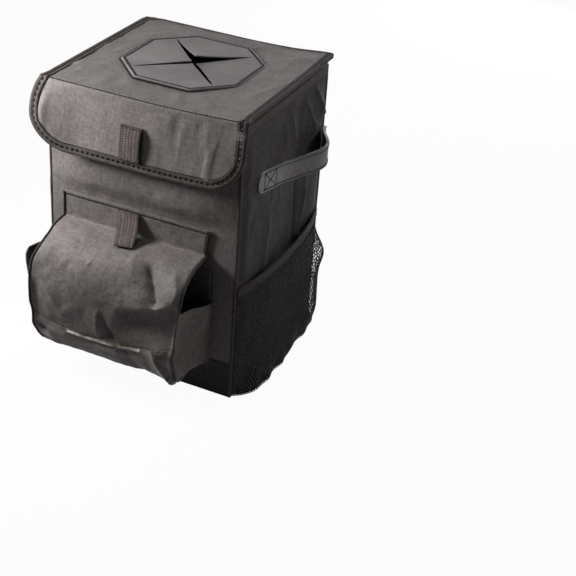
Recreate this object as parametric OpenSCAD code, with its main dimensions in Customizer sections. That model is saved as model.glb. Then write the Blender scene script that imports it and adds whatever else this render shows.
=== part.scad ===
// Collapsible car trash bin: a fabric box stiffened with boards, with a hinged lid that has a
// front flap and an eight-sided mouth of four push-in flaps, a bulging front pocket, a netting
// pocket and a strap handle on each side.
// The origin is the centre of the base on the floor. The front faces -Y, right is +X, up is +Z.

/* [Body] */
// Width across the side panels
body_w = 212; // [190:1:250]
// Depth from the front panel to the back panel
body_d = 194; // [170:1:230]
// Height of the walls under their bound rim
body_h = 301; // [270:1:360]
// Height of the separate band sewn round the base
band_h = 41; // [25:1:60]
// How far the standing fold in the middle of each side panel is pressed in
crease_in = 1; // [0:0.1:2.5]

/* [Layers] */
// Thickness of the outer fabric
fabric_t = 1; // [0.6:0.1:1.6]
// Thickness of the stiffening boards in the walls
board_t = 2; // [1:0.1:3]
// Thickness of the board in the bottom
floor_t = 2.5; // [1.5:0.1:4]
// Thickness of the waterproof lining bag
liner_t = 0.8; // [0.4:0.1:1.2]
// Radius of the piping down the four corners
piping_r = 1.5; // [1:0.1:2.2]
// How far the piping stands proud of the panels
piping_proud = 0.5; // [0:0.1:0.9]
// Height of the tape that binds the rim
rim_h = 12; // [8:0.5:20]
// Thickness of the tape that binds the rim
rim_t = 0.7; // [0.4:0.1:1.2]

/* [Lid] */
// Width of the lid over its bound edges
lid_w = 222; // [216:1:262]
// Thickness of the board in the lid
lid_board_t = 2; // [1.2:0.1:3]
// Thickness of the top fabric of the lid
lid_cover_t = 1.2; // [0.8:0.1:2]
// Thickness of the lining under the lid
lid_lining_t = 0.8; // [0.5:0.1:1.5]
// Width of the binding tape round the lid and its flap
bind_w = 11; // [7:0.5:15]
// Thickness of the binding tape
bind_t = 0.7; // [0.4:0.1:1.2]
// Height of the fabric strip that hinges the lid to the back
hinge_strip_h = 26; // [18:1:40]
// Width of that hinge strip
hinge_strip_w = 190; // [120:1:200]

/* [Mouth] */
// Half the width of the mouth plate across its four straight sides
plate_half = 66.7; // [60:0.1:75]
// Half the width of the mouth plate across its four slanted sides
plate_half_slant = 69.1; // [62:0.1:78]
// Thickness of the mouth plate
plate_t = 2.5; // [1.8:0.1:4]
// Width of the bevel round the mouth plate
plate_bevel = 1.8; // [0.5:0.1:2.5]
// Distance of the sewing groove from the plate's edge
groove_in = 4.5; // [3:0.1:8]
// Width of the sewing groove
groove_w = 1; // [0.6:0.1:2]
// Depth of the sewing groove
groove_deep = 0.6; // [0.3:0.1:1]
// Distance of each mouth flap's hinge from the middle of the mouth
flap_reach = 43.5; // [36:0.5:50]
// Thickness of the mouth flaps
flap_t = 1.6; // [1:0.1:2]
// Width of the slits between the mouth flaps
slit_w = 1.2; // [0.8:0.1:2.5]
// Sideways place of the mouth on the lid
mouth_x = -3; // [-8:0.5:8]
// Place of the mouth along the depth of the lid
mouth_y = 8; // [-4:0.5:12]
// Angle at which the rear mouth flap has stayed up
rear_tilt = 10.5; // [0:0.5:14]
// Angle of the front and right mouth flaps, a little below the plate
low_tilt = -2; // [-3:0.5:2]

/* [Lid flap] */
// Length of the flap from the fold to its lower edge
flap_drop = 68; // [50:1:85]
// Width of the flap
flap_w = 225; // [218:1:264]
// Radius of the flap's two lower corners
flap_corner = 36; // [15:1:45]
// Angle at which the flap stands off the front
splay = 9; // [8:0.5:14]
// Thickness of each of the flap's three layers
flap_layer_t = 1; // [0.6:0.1:1.2]
// Width of the webbing pull tabs on the lid flap and the pocket
tab_w = 23; // [18:0.5:30]
// Thickness of the webbing
webbing_t = 1.6; // [1:0.1:2.2]
// Length of the pull tab on the lid flap
flap_tab_l = 37; // [28:1:45]
// Sideways place of the pull tab on the lid flap
tab_x = -4; // [-12:0.5:12]
// Thickness of each hook and loop tape
hook_t = 1; // [0.6:0.1:1.2]
// Width of the hook and loop patch behind the lid flap
catch_w = 60; // [40:1:90]
// Height of that patch
catch_h = 18; // [12:1:22]
// Distance of the middle of that patch above the flap's lower edge
catch_up = 20; // [14:1:30]

/* [Front pocket] */
// Width of the pocket
pocket_w = 165; // [140:1:170]
// Sideways place of the pocket
pocket_x = -6; // [-10:0.5:10]
// Height of the fold where the cover leaves the front panel
pocket_fold = 160; // [150:1:168]
// Height of the hemmed band that lies flat above that fold
pocket_band_h = 29; // [22:1:34]
// Height of the seam that joins the cover to the pouch
pocket_seam = 66; // [58:1:75]
// Height of the pocket's lower front edge
pocket_low = 36; // [30:1:42]
// Size of the rounding along the pouch's lower front edge
pouch_round = 8; // [4:1:14]
// Rise of the pouch's underside from its lowest line back to the front panel
pouch_rise = 3; // [1:0.5:6]
// How far the seam stands out from the front panel
seam_out = 53; // [44:1:60]
// How far the belly of the cover swells past the seam
belly = 13; // [6:1:18]
// Thickness of the pocket's doubled fabric
pocket_t = 1.2; // [0.8:0.1:1.8]
// Height of the open upper edge of the left gusset
left_gusset_top = 138; // [110:1:142]
// Height of the open upper edge of the right gusset, which has sunk in
right_gusset_top = 110; // [95:1:142]
// Length of the slot left open in the seam
slot_w = 104; // [80:1:120]
// Height of the slot
slot_h = 3.2; // [2:0.1:4]
// Sideways place of the slot within the pocket
slot_x = -15; // [-18:0.5:10]
// Sideways place of the pull tab on the pocket
pocket_tab_x = -11; // [-18:0.5:6]
// Length of the pull tab on the pocket
pocket_tab_l = 33; // [24:1:36]
// Angle at which that tab stands off the pocket
pocket_tab_lean = 42; // [40:1:52]

/* [Netting pockets] */
// Height of the bound upper edge of the netting pockets
net_top = 130; // [100:1:150]
// Height of the elastic that binds it
net_bind_h = 11; // [7:0.5:15]
// Thickness of that elastic
net_bind_t = 2.4; // [1.6:0.1:3]
// How far the netting bows out in the middle
net_bow = 15; // [10:0.5:22]
// Thickness of the netting
net_t = 1.2; // [0.8:0.1:1.8]
// Spacing of the gaps in the netting
net_pitch = 13.5; // [12.5:0.1:18]
// Width of the threads between the gaps
net_thread = 2.6; // [1.5:0.1:4]
// Height of the netting's lower edge above the floor
net_low = 2; // [1:0.5:6]

/* [Handles] */
// Height of the middle of the side straps
strap_z = 227; // [200:1:250]
// Width of the straps
strap_w = 23; // [18:0.5:30]
// Thickness of the straps
strap_t = 2.2; // [1.4:0.1:3]
// How far the straps bow out from the side panels
strap_bow = 20; // [16:0.5:26]
// Distance of the strap's sewn front end ahead of the body's middle
strap_front = 62; // [50:1:75]
// Distance ahead of the body's middle at which the sewn part ends
strap_free = 20; // [5:1:30]

/* [Clearances] */
// Running clearance between the rim and the closed lid
lid_gap = 0.3; // [0.2:0.1:0.6]
// Clearance between the fold of the lid and the flap
fold_gap = 0.3; // [0.2:0.1:0.6]
// Clearance round the hinges of the mouth flaps
hinge_gap = 0.2; // [0.15:0.05:0.5]
// Slack between the boards where they meet
board_gap = 0.3; // [0.1:0.1:0.8]

/* [Hidden] */
$fn = 64;

fabric_col = [0.22, 0.20, 0.19];
side_col = [0.13, 0.12, 0.12];
trim_col = [0.16, 0.14, 0.14];
webbing_col = [0.24, 0.20, 0.19];
board_col = [0.10, 0.10, 0.10];
plate_col = [0.20, 0.19, 0.19];
net_col = [0.08, 0.08, 0.08];
pale_col = [0.80, 0.76, 0.70];

front_y = -body_d / 2;
back_y = body_d / 2;
side = body_w / 2;
piping_in = piping_r - piping_proud;
seam_gap = 0.05;
panel_x = side - piping_in - piping_r - seam_gap;
panel_y = back_y - piping_in - piping_r - seam_gap;
wall_in = fabric_t + board_t;
liner_in = wall_in + liner_t;
liner_floor = fabric_t + floor_t;
rim_low = body_h - rim_h;
rim_top = body_h + rim_t;

lid_low = rim_top + lid_gap;
lid_board_low = lid_low + lid_lining_t;
lid_cover_low = lid_board_low + lid_board_t;
lid_top = lid_cover_low + lid_cover_t;
lid_t = lid_top - lid_low;
lid_half = lid_w / 2;
hinge_strip_t = 0.8;
hinge_y = back_y + rim_t + hinge_strip_t + 1;
hinge_z = lid_low;
lid_rear = hinge_y - 0.6;
fold_r = lid_t / 2;
fold_y = front_y - rim_t - fold_r - 0.8;
fold_z = lid_low + fold_r;

plate_low = lid_top;
plate_top = plate_low + plate_t;
flap_mid = plate_top - flap_t / 2 - 0.1;
plate_hole = flap_reach + flap_t / 2 + hinge_gap;
throat = plate_hole + 1.5;
throat_r = 6;

flap_half = flap_w / 2;
flap_head = fold_r + fold_gap;
flap_core_t = 3 * flap_layer_t;
catch_mid = flap_drop - catch_up;

pocket_left = pocket_x - pocket_w / 2;
pocket_right = pocket_x + pocket_w / 2;
pocket_top = pocket_fold + pocket_band_h;
band_out = 2 * hook_t + pocket_t / 2;
cover_steps = 14;
pocket_hem = 4;
facing_t = 0.5;

net_half = panel_y;
net_r = (net_half * net_half + net_bow * net_bow) / (2 * net_bow);
net_centre = side + net_bow - net_r;
net_high = net_top - net_bind_h;
net_border = 7;
net_cols = floor((2 * net_half - 2 * net_border) / net_pitch);
net_row_pitch = net_pitch * sqrt(3) / 2;
net_rows = floor((net_high - net_low - 1.2 * net_border) / net_row_pitch);

strap_rear = panel_y - 0.4;
strap_steps = 22;

// Plan of the walls at a depth below the outer face, with the standing fold in both sides
function side_x(y) = side - crease_in * (1 - abs(y) / back_y);
function wall_plan(depth) = let (y = back_y - depth, x = side_x(y) - depth, mid = side_x(0) - depth) [
    [x, -y], [mid, 0], [x, y], [-x, y], [-mid, 0], [-x, -y]];

// A line of cloth or tape seen edge on: its path, and the outline at a given thickness
function unit(v) = v / norm(v);
function left_of(v) = [-v[1], v[0]];
function heading(p, i) = unit(p[min(i + 1, len(p) - 1)] - p[max(i - 1, 0)]);
function beside(p, off) = [for (i = [0:len(p) - 1]) p[i] + left_of(heading(p, i)) * off];
function reversed(p) = [for (i = [len(p) - 1:-1:0]) p[i]];
function ribbon(p, t) = concat(beside(p, t / 2), reversed(beside(p, -t / 2)));
function bezier(a, b, c, d, t) =
    a * pow(1 - t, 3) + b * 3 * t * pow(1 - t, 2) + c * 3 * t * t * (1 - t) + d * pow(t, 3);

// Path of the pocket in side view, from the front panel under the pouch, up its front and over
function pouch_path() = [
    [front_y - 2 * seam_gap, pocket_low + pouch_rise], [front_y - 0.75 * seam_out, pocket_low],
    [front_y - seam_out + 5 * pouch_round / 8, pocket_low + 3 * pouch_round / 16],
    [front_y - seam_out + 3 * pouch_round / 16, pocket_low + pouch_round],
    [front_y - seam_out, pocket_seam]];
function cover_curve() = [for (i = [0:cover_steps]) bezier(
    [front_y - seam_out, pocket_seam + 5 * seam_gap],
    [front_y - seam_out - belly, 2 * pocket_fold / 3 + pocket_seam / 2],
    [front_y - seam_out + 4, pocket_fold],
    [front_y - band_out, pocket_fold], i / cover_steps)];
function cover_path() = concat(cover_curve(), [[front_y - band_out, pocket_top]]);
function facing_path() = beside([for (k = [0.5, 1]) pouch_path()[3] * (1 - k) + pouch_path()[4] * k],
    -(pocket_t + facing_t) / 2 - seam_gap);
function pocket_inside() = concat(
    beside(pouch_path(), -pocket_t / 2), beside(cover_curve(), -pocket_t / 2));

// Side strap in plan: sewn flat along the panel, then bowed out and back to the corner seam
function strap_lift(y) = y < -strap_free ? 0 : strap_bow * (1 - cos(360 * pow(
    (y + strap_free) / (strap_rear + strap_free), 1.45))) / 2;
function strap_point(y) = [side_x(y) + strap_t / 2 + 0.1 + strap_lift(y), y];
function strap_path() = concat([strap_point(-strap_front)],
    [for (i = [0:strap_steps]) strap_point(-strap_free + (strap_rear + strap_free) * i / strap_steps)]);

function eight_sided(straight, slant) = let (c = slant * sqrt(2) - straight) [
    [straight, -c], [straight, c], [c, straight], [-c, straight],
    [-straight, c], [-straight, -c], [-c, -straight], [c, -straight]];

module along_x(length) {
    rotate([90, 0, 90]) linear_extrude(length, center = true) children();
}

module sheet_y(y0, t) {
    translate([0, y0 + t, 0]) rotate([90, 0, 0]) linear_extrude(t) children();
}

module box_between(low, high) {
    translate(low) cube(high - low);
}

module on_left() {
    mirror([1, 0, 0]) children();
}

module on_back() {
    mirror([0, 1, 0]) children();
}

module rounded_square(half, r) {
    square([2 * half, 2 * (half - r)], center = true);
    square([2 * (half - r), 2 * half], center = true);
    for (x = [-1, 1], y = [-1, 1]) translate([x * (half - r), y * (half - r)]) circle(r);
}

// Walls

module wall_panel() {
    box_between([-panel_x, front_y, band_h], [panel_x, front_y + fabric_t, body_h]);
}

module side_panel(low, high) {
    translate([0, 0, low]) linear_extrude(high - low) polygon([
        [side_x(panel_y), -panel_y], [side_x(0), 0], [side_x(panel_y), panel_y],
        [side_x(panel_y) - fabric_t, panel_y], [side_x(0) - fabric_t, 0],
        [side_x(panel_y) - fabric_t, -panel_y]]);
}

module wall_board() {
    box_between([-panel_x, front_y + fabric_t, fabric_t],
        [panel_x, front_y + wall_in, body_h - 1]);
}

module half_board() {
    board_y = back_y - wall_in - board_gap;
    translate([0, 0, fabric_t]) linear_extrude(body_h - 1 - fabric_t) polygon([
        [side_x(board_y) - fabric_t, -board_y], [side_x(board_gap) - fabric_t, -board_gap],
        [side_x(board_gap) - wall_in, -board_gap], [side_x(board_y) - wall_in, -board_y]]);
}

module corner_piping() {
    translate([side - piping_in, front_y + piping_in, fabric_t])
        cylinder(r = piping_r, h = rim_low - fabric_t - seam_gap);
}

module front_panel() {
    color(fabric_col) wall_panel();
}

module back_panel() {
    color(fabric_col) on_back() wall_panel();
}

module left_panel() {
    color(side_col) on_left() side_panel(band_h, body_h);
}

module right_panel() {
    color(side_col) side_panel(band_h, body_h);
}

module base_band() {
    color(side_col) {
        for (back = [0, 1]) mirror([0, back, 0])
            box_between([-panel_x, front_y, fabric_t], [panel_x, front_y + fabric_t, band_h]);
        side_panel(fabric_t, band_h);
        on_left() side_panel(fabric_t, band_h);
    }
}

module bottom_panel() {
    color(side_col) box_between([-side, front_y, 0], [side, back_y, fabric_t]);
}

module front_board() {
    color(board_col) wall_board();
}

module back_board() {
    color(board_col) on_back() wall_board();
}

module left_front_board() {
    color(board_col) on_left() half_board();
}

module left_rear_board() {
    color(board_col) on_left() on_back() half_board();
}

module right_front_board() {
    color(board_col) half_board();
}

module right_rear_board() {
    color(board_col) on_back() half_board();
}

module bottom_board() {
    reach_x = side_x(0) - wall_in - board_gap;
    reach_y = back_y - wall_in - board_gap;
    color(board_col) box_between([-reach_x, -reach_y, fabric_t], [reach_x, reach_y, liner_floor]);
}

module liner() {
    color(board_col) difference() {
        translate([0, 0, liner_floor]) linear_extrude(body_h - liner_floor) polygon(wall_plan(wall_in));
        translate([0, 0, liner_floor + liner_t]) linear_extrude(body_h) polygon(wall_plan(liner_in));
    }
}

module rim_binding() {
    color(trim_col) difference() {
        translate([0, 0, rim_low]) linear_extrude(rim_top - rim_low) polygon(wall_plan(-rim_t));
        translate([0, 0, rim_low - 1]) linear_extrude(rim_h + 1) difference() {
            polygon(wall_plan(0));
            polygon(wall_plan(liner_in));
        }
        translate([0, 0, rim_low - 1]) linear_extrude(rim_h + 4) polygon(wall_plan(liner_in + rim_t));
    }
}

module front_left_piping() {
    color(trim_col) on_left() corner_piping();
}

module front_right_piping() {
    color(trim_col) corner_piping();
}

module rear_left_piping() {
    color(trim_col) on_left() on_back() corner_piping();
}

module rear_right_piping() {
    color(trim_col) on_back() corner_piping();
}

module hinge_strip() {
    low = rim_top - hinge_strip_h;
    color(trim_col) along_x(hinge_strip_w) polygon([
        [back_y, low], [back_y + hinge_strip_t, low], [back_y + hinge_strip_t, rim_low - 1],
        [back_y + rim_t + hinge_strip_t, rim_low], [back_y + rim_t + hinge_strip_t, rim_top],
        [back_y + rim_t, rim_top], [back_y + rim_t, rim_low - seam_gap],
        [back_y, rim_low - seam_gap]]);
}

// Lid

module lid_layer(half, front, rear, low, high) {
    difference() {
        box_between([-half, front, low], [half, rear, high]);
        translate([mouth_x, mouth_y, low - 1]) linear_extrude(high - low + 2)
            rounded_square(throat, throat_r);
    }
}

module lid_cover() {
    color(fabric_col) {
        lid_layer(lid_half - bind_t, fold_y, lid_rear - bind_t, lid_cover_low, lid_top);
        translate([0, fold_y, fold_z]) rotate([0, 90, 0])
            cylinder(r = fold_r, h = lid_w - 2 * bind_t, center = true);
    }
}

module lid_board() {
    color(board_col) lid_layer(lid_half - bind_t - board_gap, fold_y + fold_r + seam_gap,
        lid_rear - bind_t - board_gap, lid_board_low, lid_cover_low);
}

module lid_lining() {
    color(side_col) lid_layer(lid_half - bind_w - seam_gap, fold_y + fold_r + seam_gap,
        lid_rear - bind_w - seam_gap, lid_low, lid_board_low);
}

module lid_binding() {
    start = fold_y + fold_r + seam_gap;
    color(trim_col) difference() {
        box_between([-lid_half, start, lid_low], [lid_half, lid_rear, lid_top + bind_t]);
        box_between([-lid_half + bind_w, start - 1, lid_low - 1],
            [lid_half - bind_w, lid_rear - bind_w, lid_top + 2]);
        box_between([-lid_half + bind_t, start - 1, lid_board_low],
            [lid_half - bind_t, lid_rear - bind_t, lid_top]);
    }
}

// Mouth

module bevelled_bar(half) {
    rotate([90, 0, 0]) linear_extrude(4 * plate_half, center = true) polygon([
        [-half, 0], [half, 0], [half, plate_t - plate_bevel], [half - plate_bevel, plate_t],
        [plate_bevel - half, plate_t], [-half, plate_t - plate_bevel]]);
}

module mouth_plate() {
    color(plate_col) translate([mouth_x, mouth_y, plate_low]) difference() {
        intersection() {
            bevelled_bar(plate_half);
            rotate([0, 0, 90]) bevelled_bar(plate_half);
            rotate([0, 0, 45]) bevelled_bar(plate_half_slant);
            rotate([0, 0, 135]) bevelled_bar(plate_half_slant);
        }
        translate([0, 0, plate_t - groove_deep]) linear_extrude(plate_t) difference() {
            polygon(eight_sided(plate_half - groove_in, plate_half_slant - groove_in));
            polygon(eight_sided(plate_half - groove_in - groove_w,
                plate_half_slant - groove_in - groove_w));
        }
        box_between([-plate_hole, -plate_hole, -1], [plate_hole, plate_hole, plate_t + 1]);
    }
}

module mouth_flap(turn, tilt) {
    base = flap_reach - slit_w / sqrt(2);
    color(plate_col) translate([mouth_x, mouth_y, flap_mid]) rotate([0, 0, turn])
        translate([0, -flap_reach, 0]) rotate([tilt, 0, 0]) {
            linear_extrude(flap_t, center = true) polygon([[-base, 0], [base, 0], [0, base]]);
            rotate([0, 90, 0]) cylinder(r = flap_t / 2, h = 2 * base - 4 * slit_w, center = true);
        }
}

module mouth_flap_front() {
    mouth_flap(0, low_tilt);
}

module mouth_flap_right() {
    mouth_flap(90, low_tilt);
}

module mouth_flap_rear() {
    mouth_flap(180, rear_tilt);
}

module mouth_flap_left() {
    mouth_flap(270, 0);
}

// Lid flap, drawn hanging straight down from the fold and then swung out

module hung_flap() {
    translate([0, fold_y, fold_z]) rotate([-splay, 0, 0]) children();
}

module flap_shape(inset) {
    half = flap_half - inset;
    low = flap_drop - inset;
    r = flap_corner - inset;
    translate([-half, -low + r]) square([2 * half, low - r - flap_head]);
    translate([-half + r, -low]) square([2 * (half - r), low - flap_head]);
    for (x = [-1, 1]) translate([x * (half - r), -low + r]) intersection() {
        circle(r);
        translate([-r, -r]) square([2 * r, low - flap_head]);
    }
}

module flap_layer(index) {
    hung_flap() sheet_y((index - 1.5) * flap_layer_t, flap_layer_t) flap_shape(bind_t);
}

module flap_cover() {
    color(fabric_col) flap_layer(0);
}

module flap_stiffener() {
    color(board_col) flap_layer(1);
}

module flap_lining() {
    color(side_col) flap_layer(2);
}

module flap_binding() {
    color(trim_col) hung_flap() difference() {
        sheet_y(-flap_core_t / 2 - bind_t, flap_core_t + 2 * bind_t) difference() {
            flap_shape(0);
            translate([0, 1]) flap_shape(bind_w);
            translate([0, -2]) flap_shape(bind_w);
        }
        sheet_y(-flap_core_t / 2, flap_core_t) {
            flap_shape(bind_t);
            translate([0, 2]) flap_shape(bind_t);
        }
    }
}

module flap_tab() {
    color(webbing_col) hung_flap() box_between(
        [tab_x - tab_w / 2, -flap_core_t / 2 - bind_t - webbing_t, -flap_drop],
        [tab_x + tab_w / 2, -flap_core_t / 2 - bind_t, -flap_drop + flap_tab_l]);
}

module flap_hook_patch() {
    color(side_col) hung_flap() box_between(
        [tab_x - catch_w / 2, flap_core_t / 2, -catch_mid - catch_h / 2],
        [tab_x + catch_w / 2, flap_core_t / 2 + hook_t, -catch_mid + catch_h / 2]);
}

module front_loop_patch() {
    mid = fold_z - catch_mid;
    color(side_col) box_between([tab_x - catch_w / 2, front_y - hook_t, mid - catch_h / 2],
        [tab_x + catch_w / 2, front_y, mid + catch_h / 2]);
}

// Front pocket

module pocket_cover() {
    color(fabric_col) translate([pocket_x, 0, 0]) along_x(pocket_w)
        polygon(ribbon(cover_path(), pocket_t));
}

module pocket_pouch() {
    color(fabric_col) difference() {
        translate([pocket_x, 0, 0]) along_x(pocket_w) polygon(ribbon(pouch_path(), pocket_t));
        box_between([pocket_x + slot_x - slot_w / 2, front_y - seam_out - 3, pocket_seam - slot_h],
            [pocket_x + slot_x + slot_w / 2, front_y - seam_out + 3, pocket_seam + 1]);
    }
}

module pocket_gusset(x, top) {
    color(side_col) translate([x, 0, 0]) along_x(fabric_t) intersection() {
        polygon(concat(pocket_inside(), [[front_y, pocket_fold]]));
        translate([front_y - 2 * seam_out, 0]) square([2 * seam_out, top]);
    }
}

module pocket_gusset_left() {
    pocket_gusset(pocket_left + fabric_t / 2, left_gusset_top);
}

module pocket_gusset_right() {
    pocket_gusset(pocket_right - fabric_t / 2, right_gusset_top);
}

module pocket_tab() {
    color(webbing_col) translate([pocket_tab_x, front_y - band_out - pocket_t / 2, pocket_top - 3])
        rotate([-pocket_tab_lean, 0, 0]) box_between([-tab_w / 2, -webbing_t, -pocket_tab_l],
            [tab_w / 2, 0, 0]);
}

module pocket_strip(out) {
    color(side_col) box_between(
        [pocket_left + pocket_hem, front_y - out - hook_t, pocket_fold + pocket_hem],
        [pocket_right - pocket_hem, front_y - out, pocket_top - pocket_hem]);
}

module pocket_loop_strip() {
    pocket_strip(0);
}

module pocket_hook_strip() {
    pocket_strip(hook_t);
}

module slot_facing() {
    color(pale_col) translate([pocket_x + slot_x, 0, 0]) along_x(slot_w + 2 * pocket_hem)
        polygon(ribbon(facing_path(), facing_t));
}

// Netting pockets

module net_plan(outer, inner) {
    intersection() {
        translate([net_centre, 0]) difference() {
            circle(outer, $fn = 256);
            circle(inner, $fn = 256);
        }
        translate([side + seam_gap, -net_half]) square([2 * net_bow, 2 * net_half]);
    }
}

module net_gaps() {
    for (row = [0:net_rows - 1], col = [0:net_cols - 1])
        translate([(col - (net_cols - 1) / 2 + (row % 2 == 0 ? 0.25 : -0.25)) * net_pitch,
            net_low + net_border + (row + 0.5) * net_row_pitch])
            rotate(30) circle((net_pitch - net_thread) / sqrt(3), $fn = 6);
}

module net_wall() {
    intersection() {
        translate([0, 0, net_low]) linear_extrude(net_high - net_low) net_plan(net_r, net_r - net_t);
        translate([side + net_bow, 0, 0]) along_x(4 * net_bow) difference() {
            translate([-net_half - 1, 0]) square([2 * net_half + 2, net_high + 1]);
            net_gaps();
        }
    }
    translate([0, 0, net_low]) linear_extrude(net_t) intersection() {
        translate([net_centre, 0]) circle(net_r - net_t, $fn = 256);
        translate([side + seam_gap, -net_half]) square([2 * net_bow, 2 * net_half]);
    }
}

module net_elastic() {
    translate([0, 0, net_high]) linear_extrude(net_bind_h)
        net_plan(net_r + (net_bind_t - net_t) / 2, net_r - (net_bind_t + net_t) / 2);
}

module net_left() {
    color(net_col) on_left() net_wall();
}

module net_right() {
    color(net_col) net_wall();
}

module net_elastic_left() {
    color(trim_col) on_left() net_elastic();
}

module net_elastic_right() {
    color(trim_col) net_elastic();
}

// Handles

module side_strap() {
    intersection() {
        translate([0, 0, strap_z - strap_w / 2]) linear_extrude(strap_w)
            polygon(ribbon(strap_path(), strap_t));
        translate([side + strap_bow, 0, strap_z]) along_x(4 * strap_bow) {
            translate([-strap_front + strap_w / 2, 0]) circle(strap_w / 2);
            translate([-strap_front + strap_w / 2, -strap_w / 2]) square([2 * body_d, strap_w]);
        }
    }
}

module handle_left() {
    color(trim_col) on_left() side_strap();
}

module handle_right() {
    color(trim_col) side_strap();
}

front_panel();
back_panel();
left_panel();
right_panel();
base_band();
bottom_panel();
front_board();
back_board();
left_front_board();
left_rear_board();
right_front_board();
right_rear_board();
bottom_board();
liner();
rim_binding();
front_left_piping();
front_right_piping();
rear_left_piping();
rear_right_piping();
hinge_strip();
lid_cover();
lid_board();
lid_lining();
lid_binding();
mouth_plate();
mouth_flap_front();
mouth_flap_right();
mouth_flap_rear();
mouth_flap_left();
flap_cover();
flap_stiffener();
flap_lining();
flap_binding();
flap_tab();
flap_hook_patch();
front_loop_patch();
pocket_cover();
pocket_pouch();
pocket_gusset_left();
pocket_gusset_right();
pocket_tab();
pocket_hook_strip();
pocket_loop_strip();
slot_facing();
net_left();
net_right();
net_elastic_left();
net_elastic_right();
handle_left();
handle_right();
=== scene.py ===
import math

import bpy
import numpy as np
from mathutils import Matrix, Vector


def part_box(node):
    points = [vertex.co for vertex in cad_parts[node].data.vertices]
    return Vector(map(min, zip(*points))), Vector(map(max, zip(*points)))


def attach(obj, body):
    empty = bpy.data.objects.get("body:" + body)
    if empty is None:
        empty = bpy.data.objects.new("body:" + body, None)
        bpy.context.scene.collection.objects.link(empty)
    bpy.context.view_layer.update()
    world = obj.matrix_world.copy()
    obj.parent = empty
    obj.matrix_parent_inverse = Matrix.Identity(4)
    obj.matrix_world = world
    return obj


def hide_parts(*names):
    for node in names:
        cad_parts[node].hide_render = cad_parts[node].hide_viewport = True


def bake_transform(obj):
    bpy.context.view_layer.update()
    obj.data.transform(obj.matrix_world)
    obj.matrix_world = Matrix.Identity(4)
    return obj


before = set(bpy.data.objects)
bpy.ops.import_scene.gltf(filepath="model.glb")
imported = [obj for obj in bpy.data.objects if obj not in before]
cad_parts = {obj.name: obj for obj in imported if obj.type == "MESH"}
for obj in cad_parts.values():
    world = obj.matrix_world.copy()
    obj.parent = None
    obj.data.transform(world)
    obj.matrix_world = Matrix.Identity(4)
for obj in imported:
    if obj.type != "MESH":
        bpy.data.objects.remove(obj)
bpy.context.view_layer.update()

# All lengths of the cloth, tape and thread are in millimetres. A mesh is turned into metres when it is made.
MM = 0.001


def corners(node_name):
    low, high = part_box(node_name)
    return np.array(low) / MM, np.array(high) / MM


# Body
(_, FRONT, BAND_H), (PANEL_X, _, BODY_H) = corners("front_panel")
BACK = corners("back_panel")[1][1]
SIDE = corners("bottom_panel")[1][0]
PANEL_Y = corners("right_panel")[1][1]
RIM_LOW, RIM_TOP = (corner[2] for corner in corners("rim_binding"))
CREASE_IN = 1.0
FABRIC_T = 1.0

# Lid
(_, _, LID_LOW), (LID_HALF, LID_REAR, _) = corners("lid_binding")
LINING_T, LID_BOARD_T, LID_COVER_T = 0.8, 2.0, 1.2
LID_T = LINING_T + LID_BOARD_T + LID_COVER_T
LID_TOP = LID_LOW + LID_T
FOLD_Y, FOLD_Z, FOLD_R = -100.5, 304.0, 2.0
LID_START = FOLD_Y + FOLD_R + 0.1
BIND_W, BIND_T = 9.5, 0.7
FLAP_BIND_W = 9.8

# Mouth
MOUTH = np.array([-3.0, 8.0])
PLATE_STRAIGHT, PLATE_SLANT = 66.7, 69.1
PLATE_TOP = corners("mouth_plate")[1][2]
FLAP_REACH = 43.5
THROAT = 46.0

# Lid flap
SPLAY = math.radians(9)
FLAP_HALF, FLAP_DROP, FLAP_CORNER = 112.5, 68.0, 36.0
FLAP_CORE = 3.0

# Front pocket
POCKET_LEFT, POCKET_RIGHT = -88.5, 76.5
POCKET_TOP, POCKET_FOLD, POCKET_SEAM, POCKET_LOW = 189.0, 160.0, 66.0, 36.0
SEAM_OUT = 53.0
BELLY = 13.0
POCKET_T = 1.2
BAND_OUT = 2.6

# Side pockets of netting and the strap handles
NET_TOP, NET_LOW = 130.0, 2.0
NET_BIND_H = 11.0
NET_PITCH = 4.3
NET_RADIUS = 0.5
STRAP_W, STRAP_T = 23.0, 2.2
STRAP_BOW = 20.0
STRAP_FREE = 20.0
STRAP_END, STRAP_ROUND = -67.0, 9.5

UP = (0.0, 0.0, 1.0)


# Shapes that repeat in every piece

def smooth(t):
    t = clamp(t)
    return t * t * (3 - 2 * t)


LATTICE = np.random.default_rng(11).uniform(-1, 1, (8, 64, 64))


def noise(x, y, layer):
    """Smooth random hills between -1 and 1, one unit apart."""
    i, j = np.floor(x).astype(int), np.floor(y).astype(int)
    s, t = smooth(x - i), smooth(y - j)
    at = lambda a, b: LATTICE[layer, (i + a) % 64, (j + b) % 64]
    return (at(0, 0) * (1 - s) + at(1, 0) * s) * (1 - t) + (at(0, 1) * (1 - s) + at(1, 1) * s) * t


def crumple(x, y, size, layer):
    """Soft irregular dents of about that size, as in coated cloth that has been folded."""
    total = noise(x / size, y / size, layer)
    total = total + 0.5 * noise(2.1 * x / size + 7, 2.1 * y / size, (layer + 1) % 8)
    return total + 0.25 * noise(4.3 * x / size, 4.3 * y / size + 5, (layer + 2) % 8)


def from_line(u, v, start, end):
    """How far along the line from start to end a place is, from 0 to 1, and how far to the right of it."""
    start, end = np.array(start, float), np.array(end, float)
    along = end - start
    length = np.linalg.norm(along)
    t = ((u - start[0]) * along[0] + (v - start[1]) * along[1]) / length ** 2
    return clamp(t), ((u - start[0]) * along[1] - (v - start[1]) * along[0]) / length


def fold(u, v, start, end, width, height):
    """A fold that runs from start to end and fades out at both: up for a height, down for a negative one."""
    t, off = from_line(u, v, start, end)
    return height * np.sqrt(clamp(np.sin(math.pi * t))) * np.exp(-(np.abs(off) / width) ** 1.5)


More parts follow.
